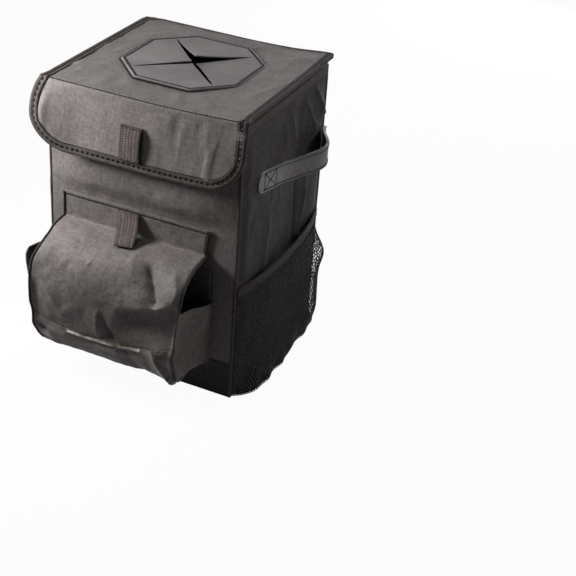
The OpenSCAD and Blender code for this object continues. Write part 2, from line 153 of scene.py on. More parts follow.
def crease(u, v, start, end, left, right, height):
    """A sharp crease from start to end, down for a negative height. It eases out over the lengths left and
    right on those sides of it, as seen on the way from start to end."""
    t, off = from_line(u, v, start, end)
    return height * smooth(t / 0.35) * smooth((1 - t) / 0.2) * np.exp(-np.where(off < 0, -off / left, off / right))


def dent(u, v, centre, size, depth):
    """A round or oval hollow, or a swelling where the depth is negative."""
    return -depth * np.exp(-((u - centre[0]) / size[0]) ** 2 - ((v - centre[1]) / size[1]) ** 2)


def each(shape, u, v, *rows):
    """The sum of many folds, creases or dents, one for each row of values."""
    return sum(shape(u, v, *row) for row in rows)


def spread(low, high, step):
    return np.linspace(low, high, max(2, int(math.ceil((high - low) / step)) + 1))


def across(half, step):
    return spread(-half, half, step)


def clamp(t):
    return np.clip(t, 0, 1)


def xyz(x, y, z):
    return np.stack(np.broadcast_arrays(x, y, z), -1)


def unit(v):
    return v / np.maximum(np.linalg.norm(v, axis=-1, keepdims=True), 1e-9)


def lengths(points, **more):
    """Length of a line from its start to each of its points."""
    return np.concatenate([[0], np.cumsum(np.linalg.norm(np.diff(points, axis=0, **more), axis=1))])


def tube_faces(n, k, rows):
    """Faces between n rings of k points, and the ring and point where each face starts."""
    i, j = (a.ravel() for a in np.meshgrid(np.arange(rows), np.arange(k), indexing="ij"))
    ahead, beside = (i + 1) % n, (j + 1) % k
    return i, j, np.stack([i * k + j, i * k + beside, ahead * k + beside, ahead * k + j], -1)


def rounded_bar(width, height, radius, turns=3):
    """Profile of a tape or bar with rounded edges."""
    points = []
    for corner, (x, y) in enumerate(((1, 1), (-1, 1), (-1, -1), (1, -1))):
        for k in range(turns + 1):
            angle = math.pi / 2 * (corner + k / turns)
            points.append((x * (width / 2 - radius) + radius * math.cos(angle),
                           y * (height / 2 - radius) + radius * math.sin(angle)))
    return points


def ring(radius, sides=10):
    turns = [2 * math.pi * k / sides for k in range(sides)]
    return [(radius * math.cos(a), radius * math.sin(a)) for a in turns]


def placed(name, data):
    made = bpy.data.objects.new(name, data)
    bpy.context.scene.collection.objects.link(made)
    return made


def dress(piece, material, *nodes, body="bin", slot=None):
    """Gives a finished piece its material, attaches it to its body and hides the nodes that it stands for. slot is
    not used.
    A piece that bends has four things for its body: the two bodies, and where the bend starts and ends, in
    millimetres. These are not used: such a piece is attached to no body, and only its transform is baked."""
    piece.data.materials.clear()
    piece.data.materials.append(material)
    if isinstance(body, str):
        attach(piece, body)
    if nodes:
        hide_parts(*nodes)
    if not isinstance(body, str):
        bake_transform(piece)
    return piece


class Cloth:
    """Points in millimetres, faces, and the place of each face corner on the flat cloth."""

    def __init__(self):
        self.points, self.faces, self.uv, self.count = [], [], [], 0

    def add(self, points, faces, uv):
        """faces is an array of rows of one length, and uv has two numbers for each corner."""
        self.points.append(np.asarray(points, float).reshape(-1, 3))
        self.faces.append(faces + self.count)
        self.uv.append(np.asarray(uv, float).reshape(-1, 2))
        self.count += len(self.points[-1])
        return self

    def lay(self, place, us, vs, thick, relief=None, keep=None, flip=False, warp=None, span=(1, 1)):
        """Adds a sheet of cloth with a thickness. place turns cloth coordinates into points, relief lifts it,
        keep leaves faces out, and span gives the millimetres in one unit of each coordinate."""
        u, v = np.meshgrid(us, vs, indexing="ij")
        if warp:
            u, v = warp(u, v)
        base = place(u, v)
        out = unit(np.cross(np.gradient(base, axis=0), np.gradient(base, axis=1))) * (-1 if flip else 1)
        top = base if relief is None else base + out * relief(u, v)[..., None]
        at = np.arange(u.size).reshape(u.shape)
        quads = np.stack([at[:-1, :-1], at[1:, :-1], at[1:, 1:], at[:-1, 1:]], -1).reshape(-1, 4)
        if keep is not None:
            quads = quads[keep(*(a.ravel()[quads].mean(1) for a in (u, v)))]
        if flip:
            quads = quads[:, ::-1]
        # An edge that no face runs back along is on the rim
        edges = np.concatenate([quads[:, [k, (k + 1) % 4]] for k in range(4)])
        rim = edges[~np.isin(edges @ [u.size, 1], edges @ [1, u.size])]
        rims = np.stack([rim[:, 1], rim[:, 0], rim[:, 0] + u.size, rim[:, 1] + u.size], -1)
        faces = np.concatenate([quads, quads[:, ::-1] + u.size, rims])
        flat = np.stack([u * span[0], v * span[1]], -1).reshape(-1, 2)
        points = np.concatenate([top.reshape(-1, 3), (top - out * thick).reshape(-1, 3)])
        return self.add(points, faces, flat[faces % u.size])

    def sweep(self, path, normals, profile, closed=False):
        """Adds a tape: the closed profile (across, out) is carried along the path. across points left of travel.
        The normals may be one vector and the profile one outline, or there is one for each point of the path."""
        path = np.asarray(path, float)
        normals = unit(np.broadcast_to(np.asarray(normals, float), path.shape))
        profiles = np.broadcast_to(np.asarray(profile, float), (len(path),) + np.shape(profile)[-2:])
        tangent = np.roll(path, -1, 0) - np.roll(path, 1, 0) if closed else np.gradient(path, axis=0)
        left = unit(np.cross(normals, tangent))
        rings = path[:, None] + left[:, None] * profiles[:, :, :1] + normals[:, None] * profiles[:, :, 1:]
        n, k = rings.shape[:2]
        middle = profiles[n // 2]
        along, around = lengths(path, append=path[:1]), lengths(middle, append=middle[:1])
        i, j, faces = tube_faces(n, k, n if closed else n - 1)
        sides = [np.stack([along[i + a], around[j + b]], -1) for a, b in ((0, 0), (0, 1), (1, 1), (1, 0))]
        self.add(rings, faces, np.stack(sides, 1))
        if not closed:
            for first, order in ((0, slice(None, None, -1)), (n - 1, slice(None))):
                self.faces.append(np.arange(k)[order][None] + first * k + self.count - n * k)
                self.uv.append(middle[order])
        return self

    def piece(self, name, material, *nodes, **how):
        mesh = bpy.data.meshes.new(name)
        faces = [row for block in self.faces for row in block.tolist()]
        mesh.from_pydata((np.concatenate(self.points) * MM).tolist(), [], faces)
        layer = mesh.uv_layers.new(name="cloth")
        layer.data.foreach_set("uv", (np.concatenate(self.uv) * MM).ravel().astype(np.float32))
        mesh.shade_smooth()
        mesh.set_sharp_from_angle(angle=math.radians(50))
        return dress(placed(name, mesh), material, *nodes, **how)


# Node trees

def node(tree, kind, inputs=None, pick=0, **settings):
    """Adds a node, sets or links its inputs, and returns the output that is picked."""
    made = tree.nodes.new(kind)
    for key, value in settings.items():
        setattr(made, key, value)
    for key, value in (inputs or {}).items():
        if isinstance(value, bpy.types.NodeSocket):
            tree.links.new(value, made.inputs[key])
        else:
            made.inputs[key].default_value = value
    return made.outputs[pick] if len(made.outputs) else None


def new_tree(name, sizes):
    """A tree of geometry nodes with a mesh, named sizes and a material as its inputs."""
    tree = bpy.data.node_groups.new(name, "GeometryNodeTree")
    tree.interface.new_socket("Geometry", in_out="INPUT", socket_type="NodeSocketGeometry")
    for size, value in sizes.items():
        kind = "NodeSocketInt" if isinstance(value, int) else "NodeSocketFloat"
        tree.interface.new_socket(size, in_out="INPUT", socket_type=kind).default_value = value
    tree.interface.new_socket("Material", in_out="INPUT", socket_type="NodeSocketMaterial")
    tree.interface.new_socket("Geometry", in_out="OUTPUT", socket_type="NodeSocketGeometry")
    return tree, tree.nodes.new("NodeGroupInput").outputs


def finish_tree(tree, geometry, given):
    real = node(tree, "GeometryNodeRealizeInstances", {"Geometry": geometry})
    shaded = node(tree, "GeometryNodeSetShadeSmooth", {"Geometry": real})
    painted = node(tree, "GeometryNodeSetMaterial", {"Geometry": shaded, "Material": given["Material"]})
    node(tree, "NodeGroupOutput", {"Geometry": painted})
    return tree


def direction(tree, name):
    return node(tree, "GeometryNodeInputNamedAttribute", {"Name": name}, data_type="FLOAT_VECTOR")


def beads(tree, points, given, along, seed):
    """Puts a flattened bead, the shape of one stitch or yarn, on each point. Its X axis follows the vector along
    and its Z axis leans to the way that the cloth faces there."""
    align = "FunctionNodeAlignRotationToVector"
    first = node(tree, align, {"Vector": along}, axis="X")
    turned = node(tree, align, {"Rotation": first, "Vector": direction(tree, "outward")}, axis="Z", pivot_axis="X")
    bead = node(tree, "GeometryNodeMeshUVSphere", {"Segments": 6, "Rings": 4, "Radius": 0.5})
    # The single-number sockets of Random Value are its third and fourth inputs and its second output
    varied = node(tree, "FunctionNodeRandomValue", {2: 0.85, 3: 1.12, "Seed": seed}, 1, data_type="FLOAT")
    length = node(tree, "ShaderNodeMath", {0: given["Length"], 1: varied}, operation="MULTIPLY")
    size = node(tree, "ShaderNodeCombineXYZ", {"X": length, "Y": given["Width"], "Z": given["Height"]})
    placed_beads = node(tree, "GeometryNodeInstanceOnPoints",
                        {"Points": points, "Instance": bead, "Rotation": turned, "Scale": size})
    return finish_tree(tree, placed_beads, given)


def stitch_tree():
    tree, given = new_tree("stitches", {"Pitch": 0.004, "Length": 0.0025, "Width": 0.0007, "Height": 0.0005})
    line = node(tree, "GeometryNodeMeshToCurve", {"Mesh": given["Geometry"]})
    even = node(tree, "GeometryNodeResampleCurve", {"Curve": line, "Length": given["Pitch"]}, mode="LENGTH")
    return beads(tree, even, given, node(tree, "GeometryNodeInputTangent"), 3)


def yarn_tree():
    tree, given = new_tree("yarns", {"Length": 0.0025, "Width": 0.0008, "Height": 0.0006})
    return beads(tree, given["Geometry"], given, direction(tree, "along"), 5)


def net_tree():
    """Turns a mesh of triangles into a net of six-sided cells with round threads."""
    tree, given = new_tree("netting", {"Thread": 0.0003, "Sides": 4})
    cells = node(tree, "GeometryNodeDualMesh", {"Mesh": given["Geometry"], "Keep Boundaries": True})
    lines = node(tree, "GeometryNodeMeshToCurve", {"Mesh": cells})
    thread_ring = node(tree, "GeometryNodeCurvePrimitiveCircle",
                       {"Resolution": given["Sides"], "Radius": given["Thread"]})
    tubes = node(tree, "GeometryNodeCurveToMesh", {"Curve": lines, "Profile Curve": thread_ring})
    return finish_tree(tree, tubes, given)


def grow(name, points, edges, faces, tree, vectors, **sizes):
    """Runs a tree on a mesh made of these points and returns the result as a plain mesh. Sizes are in
    millimetres, apart from whole numbers and the material."""
    mesh = bpy.data.meshes.new(name + "_guide")
    mesh.from_pydata((np.asarray(points) * MM).tolist(), edges, faces)
    for key, value in vectors.items():
        rows = mesh.attributes.new(key, "FLOAT_VECTOR", "POINT").data
        rows.foreach_set("vector", np.asarray(value, np.float32).ravel())
    guide = placed(name + "_guide", mesh)
    maker = guide.modifiers.new("made", "NODES")
    maker.node_group = tree
    for socket in tree.interface.items_tree:
        if socket.in_out == "INPUT" and socket.name in sizes:
            value = sizes[socket.name]
            maker[socket.identifier] = value * MM if isinstance(value, float) else value
    bpy.context.view_layer.update()
    view = bpy.context.evaluated_depsgraph_get()
    made = bpy.data.meshes.new_from_object(guide.evaluated_get(view))
    guide.modifiers.remove(maker)
    bpy.data.objects.remove(guide)
    made.name = name
    for key in vectors:
        if key in made.attributes:
            made.attributes.remove(made.attributes[key])
    return placed(name, made)


def stitch(name, rows, slot, body="bin", pitch=3.6, length=2.4, width=0.9, height=0.55):
    """Rows of stitches. Each row is a pair: its points and the direction that the cloth faces there."""
    points, outward, edges = [], [], []
    for line, facing in rows:
        start, line = len(points), np.asarray(line, float)
        points.extend(line)
        outward.extend(unit(np.broadcast_to(np.asarray(facing, float), line.shape)))
        edges.extend([(start + k, start + k + 1) for k in range(len(line) - 1)])
    piece = grow(name, points, edges, [], STITCHES, {"outward": outward}, Pitch=pitch, Length=length, Width=width,
                 Height=height, Material=THREAD_AND_PAINTED_SHADE)
    return dress(piece, THREAD_AND_PAINTED_SHADE, body=body, slot=slot)


STITCHES, YARNS, NETTING = stitch_tree(), yarn_tree(), net_tree()


# Materials

class Paint:
    """A principled material and the patterns that go into it."""

    def __init__(self, name, roughness, specular, sheen=0.0):
        self.material = bpy.data.materials.new(name)
        self.material.use_nodes = True
        self.tree = self.material.node_tree
        self.tree.nodes.clear()
        surface = self.make("ShaderNodeBsdfPrincipled", {
            "Roughness": roughness, "Specular IOR Level": specular, "Sheen Weight": sheen, "Sheen Roughness": 0.5})
        self.shader = surface.node
        self.make("ShaderNodeOutputMaterial", {"Surface": surface})
        self.where = self.make("ShaderNodeTexCoord", pick="Object")

    def make(self, kind, inputs=None, pick=0, **settings):
        return node(self.tree, kind, inputs, pick, **settings)

    def flat(self):
        """Place on the flat cloth."""
        return self.make("ShaderNodeUVMap", uv_map="cloth")

    def maths(self, operation, a, b=0.0):
        return self.make("ShaderNodeMath", {0: a, 1: b}, operation=operation)

    def clouds(self, scale, detail=3.0, rough=0.55, where=None):
        return self.make("ShaderNodeTexNoise", {"Vector": self.where if where is None else where, "Scale": scale,
                                                "Detail": detail, "Roughness": rough})

    def mapped(self, value, low, high, to_low=0.0, to_high=1.0):
        return self.make("ShaderNodeMapRange", {
            "Value": value, "From Min": low, "From Max": high, "To Min": to_low, "To Max": to_high})

    def weighed(self, *parts):
        """The sum of patterns, each with its weight."""
        rows = [self.maths("MULTIPLY", pattern, weight) for pattern, weight in parts]
        total = rows[0]
        for row in rows[1:]:
            total = self.maths("ADD", total, row)
        return total

    def streaks(self, across, along):
        """Slubs: lengths of thicker and thinner yarn, both along and across the cloth."""
        both = []
        for steps in ((1 / across, 1 / along, 0), (1 / along, 1 / across, 0)):
            stretched = self.make("ShaderNodeVectorMath", {0: self.flat(), 1: tuple(k / MM for k in steps)},
                                  operation="MULTIPLY")
            both.append(self.clouds(1.0, 2.0, where=stretched))
        return self.maths("ADD", *both)

    def wave(self, pitch, axis):
        place = self.make("ShaderNodeSeparateXYZ", {"Vector": self.flat()}, axis)
        return self.maths("SINE", self.maths("MULTIPLY", place, math.pi / (pitch * MM)))

    def weave(self, pitch):
        """Height of a plain weave: warp and weft yarns take turns on top."""
        warp, weft = self.wave(pitch, "X"), self.wave(pitch, "Y")
        over = self.maths("GREATER_THAN", self.maths("MULTIPLY", warp, weft), 0.0)
        return self.make("ShaderNodeMix", {
            0: over, 2: self.maths("ABSOLUTE", warp), 3: self.maths("ABSOLUTE", weft)}, data_type="FLOAT")

    def colour(self, pattern, low, high, dark, light):
        mix = self.make("ShaderNodeMix", {0: self.mapped(pattern, low, high), 6: (*dark, 1), 7: (*light, 1)}, 2,
                        data_type="RGBA")
        self.tree.links.new(mix, self.shader.inputs["Base Color"])

    def gloss(self, scale, low, high):
        """Uneven roughness, in clouds."""
        self.tree.links.new(self.mapped(self.clouds(scale), 0.3, 0.7, low, high), self.shader.inputs["Roughness"])

    def bump(self, height, distance, strength, under=None):
        inputs = {"Height": height, "Distance": distance * MM, "Strength": strength}
        if under is not None:
            inputs["Normal"] = under
        normal = self.make("ShaderNodeBump", inputs)
        self.tree.links.new(normal, self.shader.inputs["Normal"])
        return normal


def woven_cloth(name, dark, light, pitch=0.9, roughness=0.44, specular=0.14, sheen=0.02):
    """Coated oxford cloth: a fine plain weave, cloudy patches, small crumples and uneven gloss."""
    paint = Paint(name, roughness, specular, sheen)
    yarn = paint.weave(pitch)
    shade = paint.weighed((paint.clouds(26), 0.34), (paint.clouds(300, 3.0, 0.7), 0.95),
                          (paint.streaks(1.5, 16), 0.5), (yarn, 0.12))
    paint.colour(shade, 0.86, 1.55, dark, light)
    paint.gloss(60, roughness - 0.07, roughness + 0.08)
    paint.bump(yarn, 0.16, 0.6, paint.bump(paint.clouds(75, 4.0), 1.1, 0.55))
    return paint.material


def ribbed_tape(name, dark, light, pitch=0.9):
    """Narrow tape or webbing with ribs across it."""
    paint = Paint(name, 0.6, 0.08, 0.02)
    rib = paint.maths("ABSOLUTE", paint.wave(pitch, "X"))
    paint.colour(paint.weighed((rib, 0.45), (paint.clouds(160), 0.75)), 0.25, 0.95, dark, light)
    paint.bump(rib, 0.2, 0.7, paint.bump(paint.clouds(260), 0.5, 0.5))
    return paint.material


def moulded(name, dark, light, roughness, specular, grain=900, depth=0.04, patch=18):
    """Moulded rubber or plastic with a fine matt grain and faint clouds."""
    paint = Paint(name, roughness, specular)
    paint.colour(paint.clouds(patch), 0.3, 0.7, dark, light)
    paint.gloss(45, roughness - 0.05, roughness + 0.07)
    paint.bump(paint.clouds(grain, 2.0), depth, 0.8)
    return paint.material


def thread(name, dark, light, roughness=0.6, specular=0.08, scale=900):
    """Twisted thread, seen as a fine change of tone along it."""
    paint = Paint(name, roughness, specular, 0.02)
    fibre = paint.clouds(scale, 2.0)
    paint.colour(fibre, 0.35, 0.65, dark, light)
    paint.bump(fibre, 0.1, 0.5)
    return paint.material


FABRIC = woven_cloth("front_fabric", (0.115, 0.101, 0.097), (0.285, 0.257, 0.249))
# A lighter copy of the front cloth: the same fabric, painted lighter to stand in for the stronger light on the lid
# flap and the pouch.
PAINTED_LIGHTER_FABRIC = woven_cloth("fabric_painted_lighter", (0.125, 0.110, 0.105), (0.325, 0.293, 0.284))
# A darker copy of the front cloth: the same fabric, painted darker to stand in for the shade on the sides and back.
# It is also used for the base, the bottom, the linings and the net floors.
SHADE_DARKENED_FABRIC = woven_cloth("side_fabric", (0.058, 0.051, 0.053), (0.152, 0.137, 0.141), roughness=0.5,
                          specular=0.03, sheen=0.0)
TAPE = ribbed_tape("binding_tape", (0.042, 0.035, 0.033), (0.148, 0.129, 0.123), pitch=0.7)
WEBBING = ribbed_tape("tab_webbing", (0.18, 0.149, 0.140), (0.45, 0.378, 0.357))
WEBBING_BASE = ribbed_tape("tab_webbing_base", (0.040, 0.033, 0.031), (0.120, 0.100, 0.095))
STRAP = woven_cloth("strap_fabric", (0.17, 0.155, 0.156), (0.39, 0.357, 0.361), pitch=0.8, specular=0.3)
# Near-black thread for the stitches. It is also used for the dark cords and lines of painted shade in grooves, gaps
# and along tape edges.
THREAD_AND_PAINTED_SHADE = thread("sewing_thread_and_painted_shade", (0.004, 0.004, 0.004), (0.016, 0.014, 0.013))
NET_THREAD = thread("net_thread", (0.042, 0.039, 0.039), (0.135, 0.126, 0.125), 0.5)
ELASTIC = ribbed_tape("elastic_tape", (0.018, 0.015, 0.013), (0.06, 0.051, 0.045))
PLATE = moulded("mouth_rubber", (0.168, 0.152, 0.151), (0.262, 0.238, 0.236), 0.42, 0.14, patch=24)
BOARD = moulded("board", (0.02, 0.02, 0.02), (0.04, 0.04, 0.04), 0.7, 0.2, 300, 0.1)
LINER_FILM = moulded("liner_film", (0.05, 0.05, 0.052), (0.085, 0.085, 0.09), 0.34, 0.5, 60, 0.9)
HOOK = thread("hook_and_loop", (0.012, 0.012, 0.012), (0.05, 0.048, 0.047), 0.9, 0.1, 1500)
PALE = thread("pale_facing", (0.26, 0.20, 0.15), (0.92, 0.89, 0.84), 0.55, 0.3, 70)


# Walls

def bow(t):
    """Fullness across a panel: none at its two edges, most in the middle."""
    return 1 - clamp(np.abs(t)) ** 4


def up_panel(v):
    return (v - BAND_H) / (BODY_H - BAND_H)


def side_x(y):
    """The side panels are drawn in a little at their middle crease."""
    return SIDE - CREASE_IN * (1 - np.abs(y) / BACK)


def front_place(u, v):
    return xyz(u, FRONT, v)


def back_place(u, v):
    return xyz(u, BACK, v)


def side_place(sign):
    return lambda u, v: xyz(sign * side_x(u), u, v)


def front_relief(u, v):
    up = up_panel(v)
    full = bow(u / PANEL_X) * clamp(4 * (1 - up)) * clamp(6 * up)
    above = smooth((v - POCKET_TOP - 1) / 18) * (1 - 0.85 * smooth((v - 212) / 24))
    soft = (1 + 1.2 * above) * (1.0 + 0.45 * crumple(u, v, 34, 0))
    creased = smooth((u - 5) / 40) * smooth((v - 190) / 20) * smooth((262 - v) / 20)
    return full * (3.2 * above + soft) + creased * 0.5 * np.abs(crumple(u, v, 13, 2)) + 0.05


def back_relief(u, v):
    return bow(u / PANEL_X) * bow(2 * up_panel(v) - 1) * (1.2 + 0.5 * crumple(u, v, 38, 3)) + 0.05


def side_relief(sign):
    def relief(u, v):
        up = up_panel(v)
        full = clamp(5 * (1 - up)) * clamp(8 * up)
        edge = smooth((PANEL_Y - np.abs(u)) / 14)
        halves = np.abs(np.sin(math.pi * (u - 29) / 190)) ** 0.7
        folds = each(crease, u, v, ((38, 292), (70, 232), 3, 9, 5.0), ((60, 298), (95, 242), 4, 7, 5.0),
                     ((84, 234), (64, 196), 7, 4, 4.5), ((58, 200), (36, 106), 3, 9, 3.6),
                     ((8, 286), (24, 236), 4, 10, 3.0), ((-30, 200), (-44, 120), 3, 12, 2.0))
        folds = folds + each(fold, u, v, ((29, 205), (33, 60), 2.4, -1.6), ((-4, 280), (6, 215), 10, 1.2))
        wrinkles = 0.8 * crumple(u + 40 * sign, v / 1.9, 26, 4)
        return np.maximum(edge * full * (1.3 + 1.7 * halves + wrinkles) + folds * full, 0.05)
    return relief


def walls():
    panel = lambda half, side, up: (across(half, side), spread(BAND_H, BODY_H, up), FABRIC_T)
    front = Cloth().lay(front_place, *panel(PANEL_X, 1.7, 1.7), front_relief)
    front.piece("front_cloth", FABRIC, "front_panel")
    # The back and the sides below are the darker copy of the cloth: painted shade.
    back = Cloth().lay(back_place, *panel(PANEL_X, 2.5, 2.5), back_relief, flip=True)
    back.piece("back_cloth", SHADE_DARKENED_FABRIC, "back_panel")
    for sign, name in ((1, "right"), (-1, "left")):
        side = Cloth().lay(side_place(sign), *panel(PANEL_Y, 1.6, 1.8), side_relief(sign), flip=sign < 0)
        side.piece(name + "_cloth", SHADE_DARKENED_FABRIC, name + "_panel")


def base():
    """The band round the base, with its turned upper edge, and the bottom."""
    def turned(u, v):
        return 0.1 + 0.5 * smooth((v - BAND_H + 6) / 2) + 0.25 * np.clip(crumple(u, v, 24, 5), -0.3, 1)

    band, rows = Cloth(), []
    for place, half, out, flip in ((front_place, PANEL_X, (0, -1, 0), False), (back_place, PANEL_X, (0, 1, 0), True),
                                   (side_place(1), PANEL_Y, (1, 0, 0), False),
                                   (side_place(-1), PANEL_Y, (-1, 0, 0), True)):
        band.lay(place, across(half, 2.5), spread(FABRIC_T, BAND_H + 0.8, 1.5), FABRIC_T, turned, flip=flip)
        rows.append((place(across(half, 6), BAND_H - 1.2) + 0.75 * np.array(out), out))
    # The band is the darker copy of the cloth: painted shade.
    band.piece("base_band_cloth", SHADE_DARKENED_FABRIC, "base_band")
    under = Cloth().lay(lambda u, v: xyz(u, v, 0.0), across(SIDE - 1, 4), spread(FRONT + 1, BACK - 1, 4), FABRIC_T,
                        flip=True)
    under.piece("bottom_cloth", SHADE_DARKENED_FABRIC, "bottom_panel")
    stitch("band_stitches", rows, "side_fabric")


def piping():
    z = spread(1.0, RIM_LOW - 0.05, 3)
    for end, y in (("front", FRONT + 1), ("rear", BACK - 1)):
        for side, x in (("left", -SIDE + 1), ("right", SIDE - 1)):
            away = unit(np.array([math.copysign(1, x), math.copysign(1, y), 0.0]))
            sway = 0.22 * noise(z / 17, x, 5)
            cord = Cloth().sweep(xyz(x, y, z) + sway[:, None] * away, away, ring(1.65, 12))
            name = end + "_" + side + "_piping"
            cord.piece(name + "_cord", TAPE, name)


def rounded_plan(half_x, half_y, radius, step=4.0):
    """Closed path round a rectangle, and its outward directions, starting at the middle of the front."""
    a, b = half_x - radius, half_y - radius
    legs = [((0, -half_y), (a, -half_y), -90), ((half_x, -b), (half_x, b), 0), ((a, half_y), (-a, half_y), 90),
            ((-half_x, b), (-half_x, -b), 180), ((-a, -half_y), (0, -half_y), 270)]
    bends = [(a, -b), (a, b), (-a, b), (-a, -b)]
    facing = lambda turn: np.array([math.cos(math.radians(turn)), math.sin(math.radians(turn)), 0.0])
    points, outward = [], []
    for k, (start, end, turn) in enumerate(legs):
        start, end = np.array([*start, 0.0]), np.array([*end, 0.0])
        for t in spread(0, 1, step / np.linalg.norm(end - start))[:-1]:
            points.append(start + (end - start) * t)
            outward.append(facing(turn))
        for more in np.linspace(turn, turn + 90, 5)[:-1] if k < len(bends) else ():
            points.append(np.array([*bends[k], 0.0]) + radius * facing(more))
            outward.append(facing(more))
    return np.array(points), np.array(outward)


def rim():
    """The tape that binds the rim, wrapped over the top of the walls and the lining."""
    plan, outward = rounded_plan(SIDE, BACK, 3.0)
    path = plan + [0, 0, (RIM_LOW + RIM_TOP) / 2]
    half, inner = (RIM_TOP - RIM_LOW) / 2, -4.5
    profile = [(-half, 0.1), (half - 0.8, 0.15), (half - 0.8, inner + 0.8), (-half, inner + 0.7), (-half, inner),
               (half - 1, inner), (half - 0.2, inner + 0.5), (half, inner + 1.4), (half, 0), (half - 0.3, 0.8),
               (half - 1.4, 1.1), (half - 4, 0.9), (half - 6, 1.05), (-half + 2.2, 1.05), (-half + 1.6, 0.75),
               (-half + 0.9, 1.0), (-half, 0.8)]
    Cloth().sweep(path, outward, profile, closed=True).piece("rim_tape", TAPE, "rim_binding")
    row = path + outward * 0.95 + [0, 0, -half + 1.7]
    stitch("rim_stitches", [(np.vstack([row, row[:1]]), np.vstack([outward, outward[:1]]))], "binding_tape",
           pitch=3.4, length=2.3)


def liner():
    """The waterproof bag inside: four walls and a floor. The walls are flipped so that they face inwards."""
    (_, _, floor), (x, y, top) = corners("liner")
    puckers = lambda u, v: np.maximum(
        0.9 + 0.4 * crumple(u, v, 30, 6) * smooth((v - floor) / 30) * smooth((top - v) / 25), 0.5)
    film, along_x, along_y, up = Cloth(), across(x, 4), across(y, 4), spread(floor, top, 4)
    for sign in (1, -1):
        for place, along in ((lambda u, v: xyz(u, sign * y, v), along_x),
                             (lambda u, v: xyz(sign * x, u, v), along_y)):
            film.lay(place, along, up, 0.4, puckers, flip=sign > 0)
    film.lay(lambda u, v: xyz(u, v, floor + 0.4), along_x, along_y, 0.4,
             lambda u, v: 0.2 + 0.15 * crumple(u, v, 35, 7))
    film.piece("lining_bag", LINER_FILM, "liner")


def hinge():
    """The strip of cloth that hinges the lid, sewn to the back and to the rear edge of the lid."""
    (_, _, low), (half, _, _) = corners("hinge_strip")
    line = np.array([[BACK + 0.35, low], [BACK + 0.4, RIM_LOW - 2], [BACK + 1.6, RIM_LOW + 1],
                     [BACK + 1.7, RIM_TOP - 0.5], [BACK + 2.3, LID_LOW], [LID_REAR + 0.25, LID_LOW + 1],
                     [LID_REAR + 0.25, LID_TOP + 0.2]])
    along = lengths(line)

    def place(u, v):
        lifted = lid_lift(u, LID_REAR) * smooth((v - along[3]) / 5)
        return xyz(u, np.interp(v, along, line[:, 0]), np.interp(v, along, line[:, 1]) + lifted)

    strip = Cloth().lay(place, across(half, 3), spread(0, along[-1], 1), 0.5,
                        lambda u, v: 0.5 + 0.12 * crumple(u, v, 14, 1), flip=True)
    strip.piece("hinge_cloth", TAPE, "hinge_strip", body=(
        "bin", "lid", (0, BACK + 1.7, RIM_TOP - 0.5), (0, LID_REAR + 0.25, LID_LOW + 2.5)))
    stitch("hinge_stitches", [(xyz(across(half - 2, 6), BACK + 1.1, low + 2), (0, 1, 0))], "binding_tape")


# Lid

def lid_lift(x, y):
    """The right edge of the lid has bent up a little, and its rear corner more."""
    edge = 4.5 * np.clip((x - 10) / 101, 0, 1.1) ** 1.6
    return edge + 1.8 * smooth((x - 60) / 51) * smooth((y - 30) / 69)


def throat_open(u, v):
    return (np.abs(u - MOUTH[0]) > THROAT) | (np.abs(v - MOUTH[1]) > THROAT)


def lid_sheet(cloth, z, thick, front, side_inset, rear_inset, step, relief=None):
    """A layer of the lid with its upper face at z. Its lines are even, with one on each edge of the throat."""
    lines = []
    for low, high, centre in ((-LID_HALF + side_inset, LID_HALF - side_inset, MOUTH[0]),
                              (front, LID_REAR - rear_inset, MOUTH[1])):
        a, b = centre - THROAT, centre + THROAT
        lines.append(np.concatenate([spread(low, a, step)[:-1], spread(a, b, step)[:-1], spread(b, high, step)]))
    return cloth.lay(lambda u, v: xyz(u, v, z + lid_lift(u, v)), *lines, thick, relief, throat_open)


def lid_relief(u, v):
    flat = smooth((np.maximum(np.abs(u - MOUTH[0]), np.abs(v - MOUTH[1])) - 62) / 12)
    inner = smooth((LID_HALF - np.abs(u)) / 14) * smooth((v - FOLD_Y) / 8)
    soft = 0.35 + 0.5 * crumple(u, v, 36, 2) + 0.32 * crumple(u, v, 14, 4)
    folds = each(fold, u, v, ((40, -60), (72, -84), 4, 1.0), ((20, -66), (34, -90), 5, 0.8),
                 ((-104, -60), (-70, -48), 5, 0.8), ((-84, -20), (-76, 20), 4, 0.6),
                 ((70, 60), (104, 84), 6, 0.9), ((84, -40), (100, 0), 6, 0.7))
    return np.maximum(flat * inner * (soft + folds), 0)


def lid():
    cover = lid_sheet(Cloth(), LID_TOP, LID_COVER_T, FOLD_Y, 0.8, 0.8, 1.9, lid_relief)
    x = across(LID_HALF - 0.8, 3)
    cover.sweep(xyz(x, FOLD_Y, FOLD_Z + lid_lift(x, FOLD_Y)), UP, ring(FOLD_R, 16))
    cover.piece("lid_cloth", FABRIC, "lid_cover", body="lid")
    board = lid_sheet(Cloth(), LID_TOP - LID_COVER_T, LID_BOARD_T, LID_START, 1, 1, 6)
    board.piece("lid_stiffener", BOARD, "lid_board", body="lid")
    lining = lid_sheet(Cloth(), LID_LOW + LINING_T, LINING_T, LID_START, 7, 6, 4)
    lining.piece("lid_lining_cloth", SHADE_DARKENED_FABRIC, "lid_lining", body="lid")
    lid_tape()


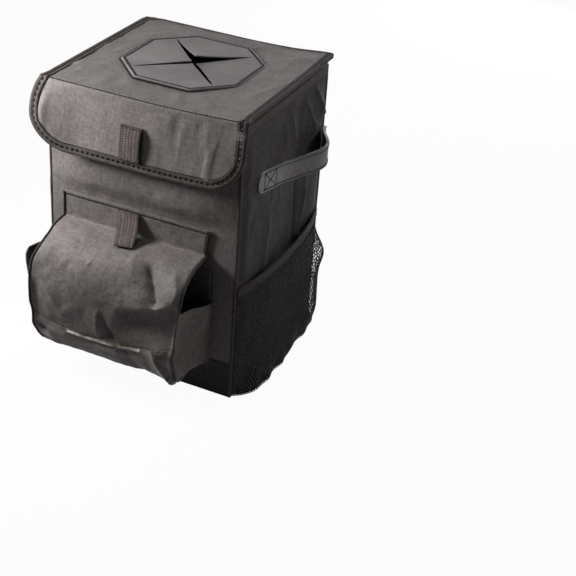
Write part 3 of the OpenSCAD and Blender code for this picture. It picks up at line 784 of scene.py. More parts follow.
def lid_edge():
    """Right, rear and left edges of the lid, from the front right round to the front left: the points, the ways
    that they face and the widths of the tape."""
    r_right, r_left = 4.0, 11.0
    flare = lambda y: 1.3 * smooth((FOLD_Y + 12 - y) / 10)

    def turn(x, r, first, tape):
        return [(x + r * math.cos(a), LID_REAR - r + r * math.sin(a), math.cos(a), math.sin(a), tape)
                for a in np.radians(np.linspace(first, first + 90, 9)[:-1])]

    rows = [(LID_HALF + flare(y), y, 1, 0, 6.5) for y in spread(LID_START, LID_REAR - r_right, 3)[:-1]]
    rows += turn(LID_HALF - r_right, r_right, 0, 5.0)
    rows += [(x, LID_REAR, 0, 1, 1.6 + 7.9 * smooth((-LID_HALF + r_left + 12 - x) / 12)
              + 3 * smooth((x - LID_HALF + 12) / 8))
             for x in spread(-LID_HALF + r_left, LID_HALF - r_right, 4)[::-1][:-1]]
    rows += turn(-LID_HALF + r_left, r_left, 90, BIND_W)
    rows += [(-LID_HALF - flare(y), y, -1, 0, BIND_W) for y in spread(LID_START, LID_REAR - r_left, 3)[::-1]]
    x, y, out_x, out_y, width = np.array(rows, float).T
    return xyz(x, y, LID_LOW + lid_lift(x, y)), xyz(out_x, out_y, 0.0), width


def bound_edge(width, thick, row, deep=0.35):
    """Profile of a tape folded round an edge: (inwards, up) from the lower outer edge of the sheet. Its
    upper face swells on both sides of the row of stitches."""
    top = thick + BIND_T
    row = min(row, 0.62 * width)
    return [(width, -0.05), (width, 0.65), (0.9, 0.65), (0.9, thick - 0.02), (width, thick - 0.02),
            (width, top - 0.15), (width - 0.3, top + 0.1), (row + 0.4 * (width - row), top + 0.15),
            (row + 0.14 * (width - row), top - deep), (0.86 * row, top - deep), (0.7 * row, top + 0.3),
            (0.42 * row, top + 0.5), (0.16 * row, top + 0.05), (0.1, top - 0.9), (-0.1, thick / 2), (0.1, 0.8),
            (0.5, 0.2), (0.8, -0.05)]


def lid_tape():
    # Travel runs right, rear, left, so across (left of travel, seen from above) points inwards
    path, outward, width = lid_edge()
    tape = Cloth().sweep(path, UP, [bound_edge(w, LID_T, 0.58 * w) for w in width])
    tape.piece("lid_tape_edge", TAPE, "lid_binding", body="lid")
    inset = lambda share, lift: path - outward * (width * share)[:, None] + [0, 0, LID_T + BIND_T + lift]
    left, right = ((width > 4) & (sign * path[:, 0] > 0) for sign in (-1, 1))
    row = inset(0.58, -0.15)
    stitch("lid_tape_stitches", [(row[right], UP), (row[left], UP)], "binding_tape", "lid", length=3.2, width=1.1,
           height=0.7)
    # Dark cords of painted shade along the inner edge of the tape, where it meets the lid cloth.
    for side, where in (("left", left), ("right", right)):
        seam = Cloth().sweep(inset(1.0, -0.25)[where], UP, ring(0.6, 6))
        seam.piece("lid_tape_painted_shade_line_" + side, THREAD_AND_PAINTED_SHADE, body="lid", slot="binding_tape")


# Mouth

def octagon(inset, z, steps=8):
    """The plate's outline at height z, moved in by a distance, with a point every few millimetres."""
    straight = PLATE_STRAIGHT - inset
    c = (PLATE_SLANT - inset) * math.sqrt(2) - straight
    turn = np.array([(straight, -c), (straight, c), (c, straight), (-c, straight), (-straight, c), (-straight, -c),
                     (-c, -straight), (c, -straight)])
    share = (np.arange(steps) / steps)[:, None]
    points = np.concatenate([a + (b - a) * share for a, b in zip(turn, np.roll(turn, -1, 0))]) + MOUTH
    return xyz(*points.T, z)


def mouth_plate():
    rows = [(0.0, LID_TOP - 0.4), (0.0, LID_TOP + 0.9), (0.25, LID_TOP + 1.4), (1.3, PLATE_TOP - 0.3),
            (1.9, PLATE_TOP), (2.4, PLATE_TOP), (2.6, PLATE_TOP - 0.6), (5.2, PLATE_TOP - 0.6),
            (5.4, PLATE_TOP - 0.1), (8, PLATE_TOP - 0.1)]
    loops = [octagon(inset, z) for inset, z in rows]
    # The innermost loop lies on the square of the flaps' hinges
    reach, centre = loops[-1], [*MOUTH, 0]
    away = np.abs(reach - centre)[:, :2].max(1)
    square = np.column_stack([(reach[:, :2] - MOUTH) * (FLAP_REACH / away)[:, None] + MOUTH, reach[:, 2]])
    loops += [(reach + square) / 2, square, square - [0, 0, 1.6], octagon(0.5, LID_TOP - 0.4)]
    points = np.array(loops)
    faces = tube_faces(*points.shape[:2], len(points))[2]
    plate = Cloth().add(points, faces, (points - centre).reshape(-1, 3)[faces][..., :2] + MOUTH)
    plate.piece("mouth_frame", PLATE, "mouth_plate", body="lid")
    # Dark lines of painted shade: one fills the groove inside the border, the other darkens the lower half of the
    # plate's outer wall and the gap round it.
    seam = Cloth()
    for inset, z, tall, wide in ((3.9, PLATE_TOP - 0.4, 0.6, 2.6), (-0.1, LID_TOP + 0.7, 1.7, 1.9)):
        seam.sweep(octagon(inset, z), UP, rounded_bar(wide, tall, 0.2), closed=True)
    seam.piece("mouth_painted_shade_lines", THREAD_AND_PAINTED_SHADE, body="lid", slot="mouth_plastic")


def mouth_flap(name, turn, lift, curl, gap, tip=3.0, shy=0.0):
    """One of four rubber flaps. lift is how far its tip stands above the plate and curl how it gets there,
    gap the width of the slit on both sides and shy what its second side draws back more."""
    half = FLAP_REACH - 0.6
    angle = math.radians(turn)
    out = np.array([math.sin(angle), -math.cos(angle)])
    side = np.array([math.cos(angle), math.sin(angle)])

    def place(u, v):
        """v runs from the hinge (0) to the tip (1), u from side to side (-1 to 1)."""
        drawn = gap + shy * (u > 0) * clamp(v * 1.6)
        width = half * (1 - v) - drawn * smooth(v * 9) * smooth((1 - v) * 9) + 0.6 * v
        far = FLAP_REACH - (FLAP_REACH - tip) * v
        x, y = (MOUTH[k] + out[k] * far + side[k] * width * u for k in (0, 1))
        return xyz(x, y, PLATE_TOP - 0.1 + lift * v ** curl * (1 + 0.12 * (1 - u * u)))

    hinge_at = lambda inward: (*(MOUTH + out * (FLAP_REACH - inward)), PLATE_TOP)
    flap = Cloth().lay(place, np.linspace(-1, 1, 27), np.linspace(0, 1, 41), 1.3)
    flap.piece("rubber_flap_" + name, PLATE, "mouth_flap_" + name,
               body=("lid", "mouth_" + name, hinge_at(0), hinge_at(4)))


def mouth():
    mouth_plate()
    mouth_flap("front", 0, -1.2, 1.3, 1.15)
    mouth_flap("right", 90, -1.6, 1.2, 1.2)
    mouth_flap("rear", 180, 4.6, 1.3, 0.5, 3.4, shy=0.3)
    mouth_flap("left", 270, 0.0, 1.2, 0.8)


# Lid flap, hung from the fold

FLAP_OUT = np.array([-math.cos(SPLAY), math.sin(SPLAY)])
FLAP_DOWN = np.array([-math.sin(SPLAY), -math.cos(SPLAY)])
WRAP_R = FOLD_R + 0.35
WRAP = math.radians(90) - SPLAY
HEAD = WRAP_R * WRAP + 1.8
OVER_FOLD = ("lid", "lid_flap", (0, FOLD_Y + 1.8, FOLD_Z + FOLD_R), (0, FOLD_Y - 2.6, FOLD_Z - 4))


def flap_bottom(x):
    """Length of the flap below the fold at a place across it, with the rounded corners."""
    into = np.clip(np.abs(x) - (FLAP_HALF - FLAP_CORNER), 0, FLAP_CORNER)
    return FLAP_DROP - FLAP_CORNER + np.sqrt(np.maximum(FLAP_CORNER ** 2 - into ** 2, 0))


def flap_bend(x, s):
    """How far the flap stands off its flat shape: its left edge has curled forward."""
    down = clamp(s / FLAP_DROP)
    left = smooth((-x - 62) / 50) * np.sin(math.pi * down ** 0.8 * 0.85)
    return 8 * left + 1.0 * np.sin(math.pi * down) * bow(x / FLAP_HALF)


def flap_stretch(x, s):
    """Sideways shift of the left and right edges."""
    down = np.sin(math.pi * clamp(s / FLAP_DROP) ** 0.7)
    return -4.5 * smooth((-x - 70) / 42) * down + 1.0 * smooth((x - 80) / 30) * down


def flap_surface(depth):
    """Places cloth coordinates (across, down from the fold) on the flap, at a depth behind its outer face."""
    def place(u, s):
        out = FLAP_CORE / 2 + 0.85 * (1 - smooth(s / 9)) - depth + flap_bend(u, s)
        angle = np.clip(-s / WRAP_R, 0, WRAP)
        radius = FLAP_CORE / 2 + 0.85 - depth
        hung = [start + out * FLAP_OUT[k] + s * FLAP_DOWN[k] for k, start in enumerate((FOLD_Y, FOLD_Z))]
        rolled = [start + radius * (FLAP_OUT[k] * np.cos(angle) - FLAP_DOWN[k] * np.sin(angle))
                  for k, start in enumerate((FOLD_Y, FOLD_Z))]
        rolled[0] = rolled[0] + np.clip(-s - WRAP_R * WRAP, 0, None)
        y, z = (np.where(s < 0, a, b) for a, b in zip(rolled, hung))
        x = u + flap_stretch(u, s)
        return xyz(x, y, z + lid_lift(x, FOLD_Y))
    return place


def flap_warp(top, inset, clear=0.0):
    """Turns rows of a grid into rows that end on the rounded lower edge. clear keeps their top away from the
    lid where its edge has bent up."""
    def warp(u, v):
        start = top + clear * lid_lift(u, FOLD_Y)
        low = flap_bottom(u * (FLAP_HALF / (FLAP_HALF - inset))) - inset
        return u, start + (low - start) * v
    return warp


def flap_relief(u, s):
    down = smooth(s / 10) * smooth((flap_bottom(u) - s - 3) / 8)
    soft = 0.3 * crumple(u / 1.2, s / 2.2, 17, 3) + 0.25 * crumple(u, s, 40, 5)
    pleats = noise(u / 8.5 + 0.12 * s / 8.5, s / 60, 6) + 0.4 * noise(u / 4.5, s / 40, 1)
    folds = each(fold, u, s, ((-97, 12), (-100, 44), 4, 1.4), ((70, 30), (66, 62), 3, -1.0),
                 ((86, 26), (82, 56), 3, -1.1), ((100, 16), (104, 34), 4, -1.0),
                 ((36, 40), (30, 64), 4, -0.6), ((77, 26), (74, 60), 3, 0.8))
    return np.maximum(down * (0.35 + soft + 0.8 * smooth((u - 15) / 30) * pleats + folds), -0.1)


def flap_at(x, s, lift=0.0):
    """A point above the outer face of the flap, and the direction that the cloth faces there."""
    x, s, lift = np.broadcast_arrays(x, s, lift)
    place, step = flap_surface(0), 0.4
    facing = unit(np.cross(place(x, s + step) - place(x, s - step), place(x + step, s) - place(x - step, s)))
    return place(x, s) + facing * lift[..., None], facing


def lid_flap():
    rows = np.concatenate([np.linspace(0, 0.15, 12)[:-1], np.linspace(0.15, 1, 44)])
    cover = Cloth().lay(flap_surface(0), across(FLAP_HALF - 0.9, 1.6), rows, 0.8, flap_relief, flip=True,
                        warp=flap_warp(-HEAD, 0.9))
    # The flap's cover is the lighter copy of the front cloth: painted light.
    cover.piece("flap_cloth", PAINTED_LIGHTER_FABRIC, "flap_cover", body=OVER_FOLD)
    for depth, step, count, name, material, stands_for in (
            (0.9, 4, 18, "flap_board", BOARD, "flap_stiffener"),
            (2.0, 3, 24, "flap_lining_cloth", SHADE_DARKENED_FABRIC, "flap_lining")):
        layer = Cloth().lay(flap_surface(depth), across(FLAP_HALF - 1, step), np.linspace(0, 1, count), 1,
                            flip=True, warp=flap_warp(4.2, 1, 1.3))
        layer.piece(name, material, stands_for, body="lid_flap")
    flap_tape()
    flap_pull()
    flap_patches()
    line, facing = flap_at(across(FLAP_HALF - 8, 3), -0.72 * WRAP_R * WRAP)
    stitch("fold_stitches", [(line, facing)], "front_fabric", "lid", pitch=3.8, length=2.7, width=1.5, height=1.1)
    # A dark cord under the stitches: painted shade in the fold's groove.
    groove = Cloth().sweep(line - facing * 0.05, facing, ring(0.42, 6))
    groove.piece("fold_groove_painted_shade", THREAD_AND_PAINTED_SHADE, body="lid", slot="front_fabric")


def flap_edge(inset, start=-4.6, step=2.5):
    """Left side, lower edge and right side of the flap: cloth coordinates from the lid round to the lid."""
    half, drop, r = FLAP_HALF - inset, FLAP_DROP - inset, FLAP_CORNER - inset
    side = np.concatenate([spread(start, 3, 0.8)[:-1], spread(3, drop - r, step)])
    turns = np.radians(np.linspace(90, 0, 20))
    points = [(-half, s) for s in side[:-1]]
    points += [(-half + r - r * math.cos(a), drop - r + r * math.sin(a)) for a in turns[::-1][:-1]]
    points += [(x, drop) for x in spread(-half + r, half - r, step)[:-1]]
    points += [(half - r + r * math.cos(a), drop - r + r * math.sin(a)) for a in turns[:-1]]
    points += [(half, s) for s in side[::-1]]
    return np.array(points).T


def flap_tape():
    """The binding of the lid flap. Its two ends run up over the fold and on to the lid."""
    x, s = flap_edge(0)
    thick = np.where(s < 0, 1.6, 1.6 + (FLAP_CORE + 0.7 - 1.6) * smooth(s / 6))
    foot, facing = flap_at(x, s, -thick - 0.1)
    right = smooth((x - 84) / 22) * smooth((58 - s) / 16)
    profiles = [bound_edge(FLAP_BIND_W, t, 5.6, 0.35 + 0.7 * k) for t, k in zip(thick, right)]
    tape = Cloth().sweep(foot, facing, profiles)
    tape.piece("flap_tape_edge", TAPE, "flap_binding", body=OVER_FOLD)
    stitch("flap_tape_stitches", [flap_at(*flap_edge(5.6), 0.5)], "binding_tape", OVER_FOLD, pitch=5.6,
           length=3.4, width=2.6, height=1.1)
    rows = []
    # The right end of the binding has dense stitches. These two extra dark rows also darken that crumpled zone, so
    # they are partly painted shade.
    for inset in (4.4, 7.6):
        x, s = flap_edge(inset)
        dense = (x > 84) & (s < 60)
        rows.append(flap_at(x[dense], s[dense], 0.7))
    stitch("flap_tape_dense_stitches_and_shade", rows, "binding_tape", OVER_FOLD, pitch=3.4, length=3.4, width=1.5, height=0.8)
    # A dark cord of painted shade along the inner edge of the tape, thicker on the left.
    line, facing = flap_at(*flap_edge(FLAP_BIND_W + 0.1), 0.35)
    thin = 0.42 + 0.25 * smooth((-line[:, 0] - 70) / 25)
    seam = Cloth().sweep(line, facing, np.array(ring(1.0, 6))[None] * thin[:, None, None])
    seam.piece("flap_tape_painted_shade_line", THREAD_AND_PAINTED_SHADE, body=OVER_FOLD, slot="binding_tape")


def herringbone(name, place, facing, width, length, body):
    """Yarns of herringbone webbing: columns of short slanted yarns that lean left and right by turns."""
    columns, pitch = 6, 2.5
    rows = spread(pitch, length - pitch, pitch)
    column, v = (a.ravel() for a in np.meshgrid(np.arange(columns), rows, indexing="ij"))
    u = (column + 0.5) / columns * width - width / 2
    along = place(u + 0.5, v + np.where(column % 2, 0.45, -0.45)) - place(u, v)
    piece = grow(name, place(u, v), [], [], YARNS, {"along": unit(along), "outward": facing(u, v)},
                 Length=float(width / columns * 1.5), Width=1.35, Height=0.9, Material=WEBBING)
    dress(piece, WEBBING, body=body)


def flap_pull():
    """The webbing loop on the lid flap: tucked under the binding, up the flap, folded over and down again."""
    middle, half, top, long = -5.6, 11.6, 24.6, 34.2

    def free(u, v):
        return (smooth((u + half + 2) / (2 * half))
                * clamp(np.sin(math.pi * clamp(v / long) ** 0.7)) ** 0.6)

    upper = lambda u, v: flap_at(u + middle, top + v, 2.1 + 3.0 * free(u, v))[0]
    facing = lambda u, v: flap_at(u + middle, top + v)[1]
    us, vs = across(half, 1.2), spread(0, long, 1.2)
    tab = Cloth().lay(upper, us, vs, 1.2, lambda u, v: 0.2 * crumple(u, v, 9, 2), flip=True)
    tab.lay(lambda u, v: flap_at(u + middle, top + v, 0.9)[0], us, vs, 0.8, flip=True)
    tab.sweep(*flap_at(across(half, 2) + middle, top, 1.1), ring(1.0, 8))
    tab.piece("flap_pull_tab", WEBBING_BASE, "flap_tab", body="lid_flap")
    herringbone("flap_pull_yarns", upper, facing, 2 * half - 1.0, long, "lid_flap")
    down, side, lift = spread(1.2, long - 1, 2), across(half - 1.2, 2), np.array([0, *FLAP_OUT]) * 0.25
    rows = [(upper(1.3 - half, down) + lift, facing(-half, down)), (upper(side, 1.2) + lift, facing(side, 0.0))]
    stitch("flap_pull_stitches", rows, "tab_webbing", "lid_flap", pitch=2.3, length=1.9, width=0.8, height=0.7)


def flap_patches():
    """The hook patch behind the lid flap and the loop patch on the front panel."""
    low, high = corners("flap_hook_patch")
    hooks = Cloth().lay(flap_surface(FLAP_CORE), spread(low[0], high[0], 2), spread(39, 57, 2), 1.0,
                        lambda u, v: 1.0 + 0.2 * noise(u * 1.3, v * 1.3, 2))
    hooks.piece("hook_patch", HOOK, "flap_hook_patch", body="lid_flap")
    low, high = corners("front_loop_patch")
    loops = Cloth().lay(front_place, spread(low[0], high[0], 1.5), spread(low[2], high[2], 1.5), 1.0,
                        lambda u, v: front_relief(u, v) + 0.9 + 0.25 * noise(u * 1.3, v * 1.3, 4))
    loops.piece("loop_patch", HOOK, "front_loop_patch")


# Front pocket

def bezier(points, count):
    t = np.linspace(0, 1, count)[:, None]
    a, b, c, d = (np.array(point) for point in points)
    return a * (1 - t) ** 3 + b * 3 * t * (1 - t) ** 2 + c * 3 * t * t * (1 - t) + d * t ** 3


def pocket_line():
    """The pocket seen from the side: hem, fold, belly, seam, lower edge and back to the front panel."""
    out = FRONT - SEAM_OUT
    curve = bezier([(FRONT - BAND_OUT, POCKET_FOLD), (out + 4, POCKET_FOLD),
                    (out - BELLY, 2 * POCKET_FOLD / 3 + POCKET_SEAM / 2), (out, POCKET_SEAM)], 40)
    low = bezier([(out + 0.5, POCKET_LOW + 12), (out + 1, POCKET_LOW + 3), (out + 3, POCKET_LOW),
                  (out + 10, POCKET_LOW)], 12)
    line = np.vstack([[FRONT - BAND_OUT, POCKET_TOP], curve, low, [FRONT - 0.3, POCKET_LOW + 5]])
    along = lengths(line)
    even = spread(0, along[-1], 1.0)
    line = np.stack([np.interp(even, along, line[:, 0]), np.interp(even, along, line[:, 1])], -1)
    for _ in range(3):
        line[1:-1] = (line[:-2] + 2 * line[1:-1] + line[2:]) / 4
    return even, line


POCKET_S, POCKET_YZ = pocket_line()
POCKET_LONG = POCKET_S[-1]
# Height and place of the pocket's left and right edges, from its lower corner to its hem
LEFT_EDGE = np.array([(30, -78), (36, -80), (45, -90), (55, -97), (73, -96), (83, -97.5), (117, -96), (134, -94.5),
                      (149, -88.5), (155, -87), (160, -89), (192, -88.5)], float).T
RIGHT_EDGE = np.array([(30, 72.5), (65, 66.5), (75, 69.6), (132, 75.4), (154, 76), (159, 76), (165, 73.5),
                       (190, 76.7)], float).T


def pocket_section(s):
    """The y and z of the swept pocket."""
    return (np.interp(s, POCKET_S, POCKET_YZ[:, k]) for k in (0, 1))


def pocket_x(u):
    """u runs from -1 at the left edge to 1 at the right one."""
    return (POCKET_LEFT + POCKET_RIGHT) / 2 + u * (POCKET_RIGHT - POCKET_LEFT) / 2


def seam_s(x):
    """The seam between cover and pouch sags between its ends."""
    return 150.5 + 10.5 * clamp(1 - ((x + 16) / 82) ** 2) ** 0.7


def pocket_shape(x, s):
    """How far the pocket's cloth stands off its plain swept form."""
    ridge_s = np.interp(x, [-40, 0, 28, 51, 77], [124, 119, 111, 105, 90])
    right = smooth((x - 2) / 36)
    shape = 3.6 * right * np.exp(-((s - ridge_s + 3) / 13) ** 2)
    shape = shape - 9.0 * right * smooth((s - ridge_s) / 8) * smooth((163 - s) / 34)
    # A black wedge that opens down to the seam
    wide = np.clip(2 + 0.6 * (s - 127), 0.5, None)
    into = clamp((x + 7) / wide)
    wedge = np.minimum(0.85 * wide, 13) * into * smooth((1 - into) / 0.15) * smooth((164 - s) / 6) * (s > 125)
    creases = each(
        crease, x, s,
        # The star: a valley from above, with a bright facet to its right
        ((27, 56), (53, 110), 6.5, 7, -8.0), ((22, 52), (53, 110), 20, 6, -2.6), ((55, 56), (78, 96), 9, 5, 2.6),
        # Left of the wedge, towards the left edge, and the small ones under the tab
        ((-8, 118), (-10, 164), 9, 1.6, 1.8), ((-74, 106), (-44, 152), 5, 14, 3.0),
        ((-66, 150), (-44, 158), 3, 5, -1.4), ((-30.5, 86), (-27, 75), 1.2, 1.6, 0.6),
        ((-24, 60), (-34, 104), 6, 9, 0.3),
        # Bright fold and puckers at the right end of the pouch
        ((50, 152), (78, 200), 7, 2.0, 6.0), ((52, 154), (68, 153), 1.6, 1.6, 1.4),
        ((54, 158.5), (70, 157), 1.4, 1.4, 1.2))
    dents = each(dent, x, s, ((62, 84), (8, 12), -1.6), ((26, 106), (36, 24), 3.6), ((-82, 132), (8, 22), 2.2),
                 ((-80, 174), (5.5, 5.5), 5.5), ((-56, 170), (14, 8), -1.6))
    folds = each(fold, x, s, ((8, 56), (22, 86), 7, 1.0), ((-92, 168), (-70, 186), 3, 1.4),
                 ((16, 166), (44, 196), 9, -2.6), ((-72, 172), (46, 176), 7, 2.4))
    return shape - wedge + creases + dents + folds


def pocket_edges(z):
    return np.interp(z, *LEFT_EDGE), np.interp(z, *RIGHT_EDGE)


def pocket_place(u, s):
    y, z = pocket_section(s)
    left, right = pocket_edges(z)
    return xyz((left + right) / 2 + u * (right - left) / 2, y, z)


def pocket_relief(u, s):
    x = pocket_x(u)
    body = smooth((s - 31) / 14) * smooth((POCKET_LONG - s) / 30)
    edge = smooth((1 - np.abs(u)) * 82 / 7)
    band = smooth(s / 3) * smooth((30 - s) / 4)
    mottled = 0.35 * np.abs(crumple(x, s, 15, 1)) + each(
        dent, x, s, ((23, 14), (7, 5), 0.6), ((50, 11), (8, 5), 0.6), ((64, 13), (6, 5), 0.5),
        ((-40, 16), (7, 6), 0.4))
    hem = 0.7 * (1 - smooth((s - 3.6) / 0.8)) - 0.35 * np.exp(-((s - 4.6) / 0.8) ** 2)
    soft = 0.75 * crumple(x, s, 26, 6) + 0.3 * crumple(x, s, 11, 2)
    swell = 2.5 * bow(u) * smooth((s - 60) / 50) * smooth((176 - s) / 30)
    return body * edge * (pocket_shape(x, s) + soft) + swell + 0.9 * band * np.maximum(mottled, -0.25) + hem


def pocket_at(u, s, lift=0.0):
    """A point above the outside of the pocket, and the way that it faces."""
    u, s = np.broadcast_arrays(u, s)
    place, step = pocket_place, 0.5
    facing = unit(np.cross(place(u, s + step) - place(u, s - step), place(u + 0.01, s) - place(u - 0.01, s)))
    return place(u, s) + facing * (pocket_relief(u, s) + lift)[..., None], facing


def pocket():
    def slot_width(x):
        """The seam is open in its middle."""
        return (1.3 + 3.0 * smooth((x + 26) / 44)) * smooth((x + 66) / 5) * smooth((42 - x) / 6)

    def upper(u, v):
        return u, v * (seam_s(pocket_x(u)) - 0.4)

    def lower(u, v):
        start = seam_s(pocket_x(u)) + slot_width(pocket_x(u)) + 0.1
        return u, start + v * (POCKET_LONG - start)

    rows = np.concatenate([np.linspace(0, 0.05, 9)[:-1], np.linspace(0.05, 1, 100)])
    # The pouch is the lighter copy of the front cloth: painted light.
    for name, material, down, warp in (("cover", FABRIC, rows, upper),
                                       ("pouch", PAINTED_LIGHTER_FABRIC, np.linspace(0, 1, 60), lower)):
        part = Cloth().lay(pocket_place, np.linspace(-1, 1, 118), down, POCKET_T, pocket_relief, warp=warp, flip=True,
                           span=((POCKET_RIGHT - POCKET_LEFT) / 2, 1))
        part.piece("pocket_" + name + "_cloth", material, "pocket_" + name)
    gusset("left", -1, 137, 141, 4.0, 9.0, POCKET_LEFT)
    gusset("right", 1, 108, 120, -3.5, -1.0, 80.5)
    pocket_seams()
    slot_facing()
    pocket_tab()
    for name in ("pocket_loop_strip", "pocket_hook_strip"):
        low, high = corners(name)
        strip = Cloth().lay(lambda u, v: xyz(u, low[1] + 0.9, v),
                            spread(low[0], high[0], 3), spread(low[2], high[2], 3), 0.8)
        strip.piece(name + "_pile", HOOK, name)


def gusset(name, sign, top_body, top_front, bulge, flare, seam_x):
    """Side of the pocket. v runs down its open top, front and underside, and t from the cover to the panel."""
    start = np.interp(top_front, POCKET_YZ[60:130, 1][::-1], POCKET_S[60:130][::-1])

    def place(t, v):
        outer_y, outer_z = pocket_section(start + (POCKET_LONG - start) * v)
        outer_x = pocket_edges(outer_z)[sign > 0] - 0.7 * sign
        inner_z = top_body + (39 - top_body) * clamp(v / 0.72)
        y = outer_y + 1.2 * (1 - t) + (FRONT + 0.1 - outer_y) * t ** 0.9
        z = outer_z + (inner_z - outer_z) * t ** 0.9
        full = np.sin(math.pi * t) ** 0.8
        x = outer_x + (seam_x - outer_x) * smooth(t) + 0.5 * crumple(y, z, 16, 3) * full
        x = x + sign * (bulge * full * smooth(v * 2.5) * smooth((1 - v) * 4)
                        + flare * (1 - t) ** 0.7 * (1 - smooth(v / 0.24)))
        if sign > 0:
            x = x + each(fold, t, v, ((0.95, 0.02), (0.1, 0.62), 0.10, 3.2), ((0.55, 0.0), (0.0, 0.3), 0.12, -2.5))
        return xyz(x, y, z)

    side = Cloth().lay(place, np.linspace(0, 1, 44), np.linspace(0, 1, 76), FABRIC_T, flip=sign < 0, span=(50, 120))
    side.piece("gusset_cloth_" + name, FABRIC, "pocket_gusset_" + name, slot="side_fabric")


def pocket_seams():
    """Raised lips down both edges and dark lines beside them, partly seams and partly painted shade; a line of
    painted shade under the hem; the stitches; and the seam beside the right gusset.
    """
    s, u = spread(1.5, 184, 2.5), np.linspace(-0.97, 0.97, 70)
    for sign, name in ((-1, "left"), (1, "right")):
        lip = Cloth().sweep(*pocket_at(sign * 0.995, s, 0.2), rounded_bar(1.3, 1.5, 0.5))
        lip.piece("pocket_lip_" + name, TAPE)
        # A dark cord inside each lip: partly its seam and partly painted shade beside the lip.
        seam = Cloth().sweep(*pocket_at(sign * 0.982, s, 0.1), ring(0.75, 6))
        seam.piece("pocket_edge_seam_and_shade_" + name, THREAD_AND_PAINTED_SHADE, slot="binding_tape")
    # A dark cord of painted shade in the hollow under the hem.
    hem = Cloth().sweep(*pocket_at(u, 4.6, 0.05), ring(0.42, 6))
    hem.piece("pocket_hem_painted_shade_line", THREAD_AND_PAINTED_SHADE, slot="binding_tape")
    rows = [pocket_at(0.962, s, 0.15), pocket_at(0.995, s, 1.0), pocket_at(u, 2.9, 0.15)]
    for low, high in ((-0.97, -0.80), (0.46, 0.97)):
        u = np.linspace(low, high, 20)
        rows.append(pocket_at(u, seam_s(pocket_x(u)) - 1.4, 0.1))
    stitch("pocket_stitches", rows, "front_fabric", pitch=3.1, length=2.1, width=0.75)
    z = spread(46, 146, 3)
    path = xyz(78.6, FRONT - 0.5, z)
    lip = Cloth().sweep(path, (0, -1, 0), rounded_bar(1.7, 2.0, 0.6))
    lip.piece("gusset_seam_lip", FABRIC, slot="side_fabric")
    seam = Cloth().sweep(path + [1.5, 0.1, 0], (0, -1, 0), rounded_bar(1.2, 1.0, 0.4))
    seam.piece("gusset_seam_thread", THREAD_AND_PAINTED_SHADE, slot="side_fabric")


def slot_facing():
    """The pale facing that shows in the open slot of the seam."""
    u = np.linspace(-0.47, 0.56, 90)
    x = pocket_x(u)
    line, facing = pocket_at(u, seam_s(x) + 2.6, 0.05 + 0.35 * noise(x / 6, 0.0, 3))
    pale = Cloth().sweep(line, facing + np.array([-0.3, -0.2, 0.6]), rounded_bar(4.8, 0.5, 0.2))
    pale.piece("slot_facing_strip", PALE, "slot_facing")


def pocket_tab():
    low, high = corners("pocket_tab")
    middle, half, long = (low[0] + high[0]) / 2, (high[0] - low[0]) / 2, 34.0

    def place(u, v):
        """The tab hangs outwards and to the right, and narrows as its right edge turns away."""
        down = v / long
        x = middle - 1.5 + u * (1 - 0.17 * down ** 1.5) + 7.5 * down
        y = high[1] - 1.8 - v * math.sin(math.radians(42)) * (0.5 + 0.5 * down) + 1.6 * down * u / half
        return xyz(x, y, POCKET_TOP - 3.5 - v * (0.93 - 0.17 * down))

    facing = lambda u, v: unit(np.cross(place(u, v + 0.5) - place(u, v - 0.5), place(u + 0.5, v) - place(u - 0.5, v)))
    tab = Cloth().lay(place, across(half, 1.5), spread(0, long, 1.5), 1.6, flip=True)
    tab.piece("pocket_pull_tab", WEBBING_BASE, "pocket_tab")
    herringbone("pocket_pull_yarns", place, facing, 2 * half - 1.5, long, "bin")


# Netting pockets

def net_out(y, z):
    """How far the netting stands out from the side: bowed at the elastic, fuller and boxy below it."""
    up = clamp((z - NET_LOW) / (NET_TOP - NET_LOW))
    loose = smooth((NET_TOP - 4 - z) / 34)
    power = np.where(y < 0, 2 + 7 * (1 - up) ** 1.2, 2 + 8 * loose)
    out = 10.5 + 7.5 * loose - 1.5 * smooth((30 - z) / 30)
    folds = loose * (1.3 * noise(y / 15, z / 60, 2) + 1.0 * noise(y / 24 + 3, z / 34, 4))
    folds = folds + 5.5 * np.exp(-((z - 98) / 22) ** 2) * smooth((y - 30) / 50)
    ragged = 2.2 * smooth((20 - z) / 18) * noise(y / 17 + 2, 0.0, 5)
    ragged = ragged - 3.0 * smooth((26 - z) / 24) * smooth((y - 10) / 60)
    return 0.4 + (1 - clamp(np.abs(y) / PANEL_Y) ** power) * (out + folds + ragged)


def net_rise(y):
    """Extra height of the elastic edge towards the rear."""
    return 0.02 * (y + 95) + 3 * smooth((y - 60) / 34)


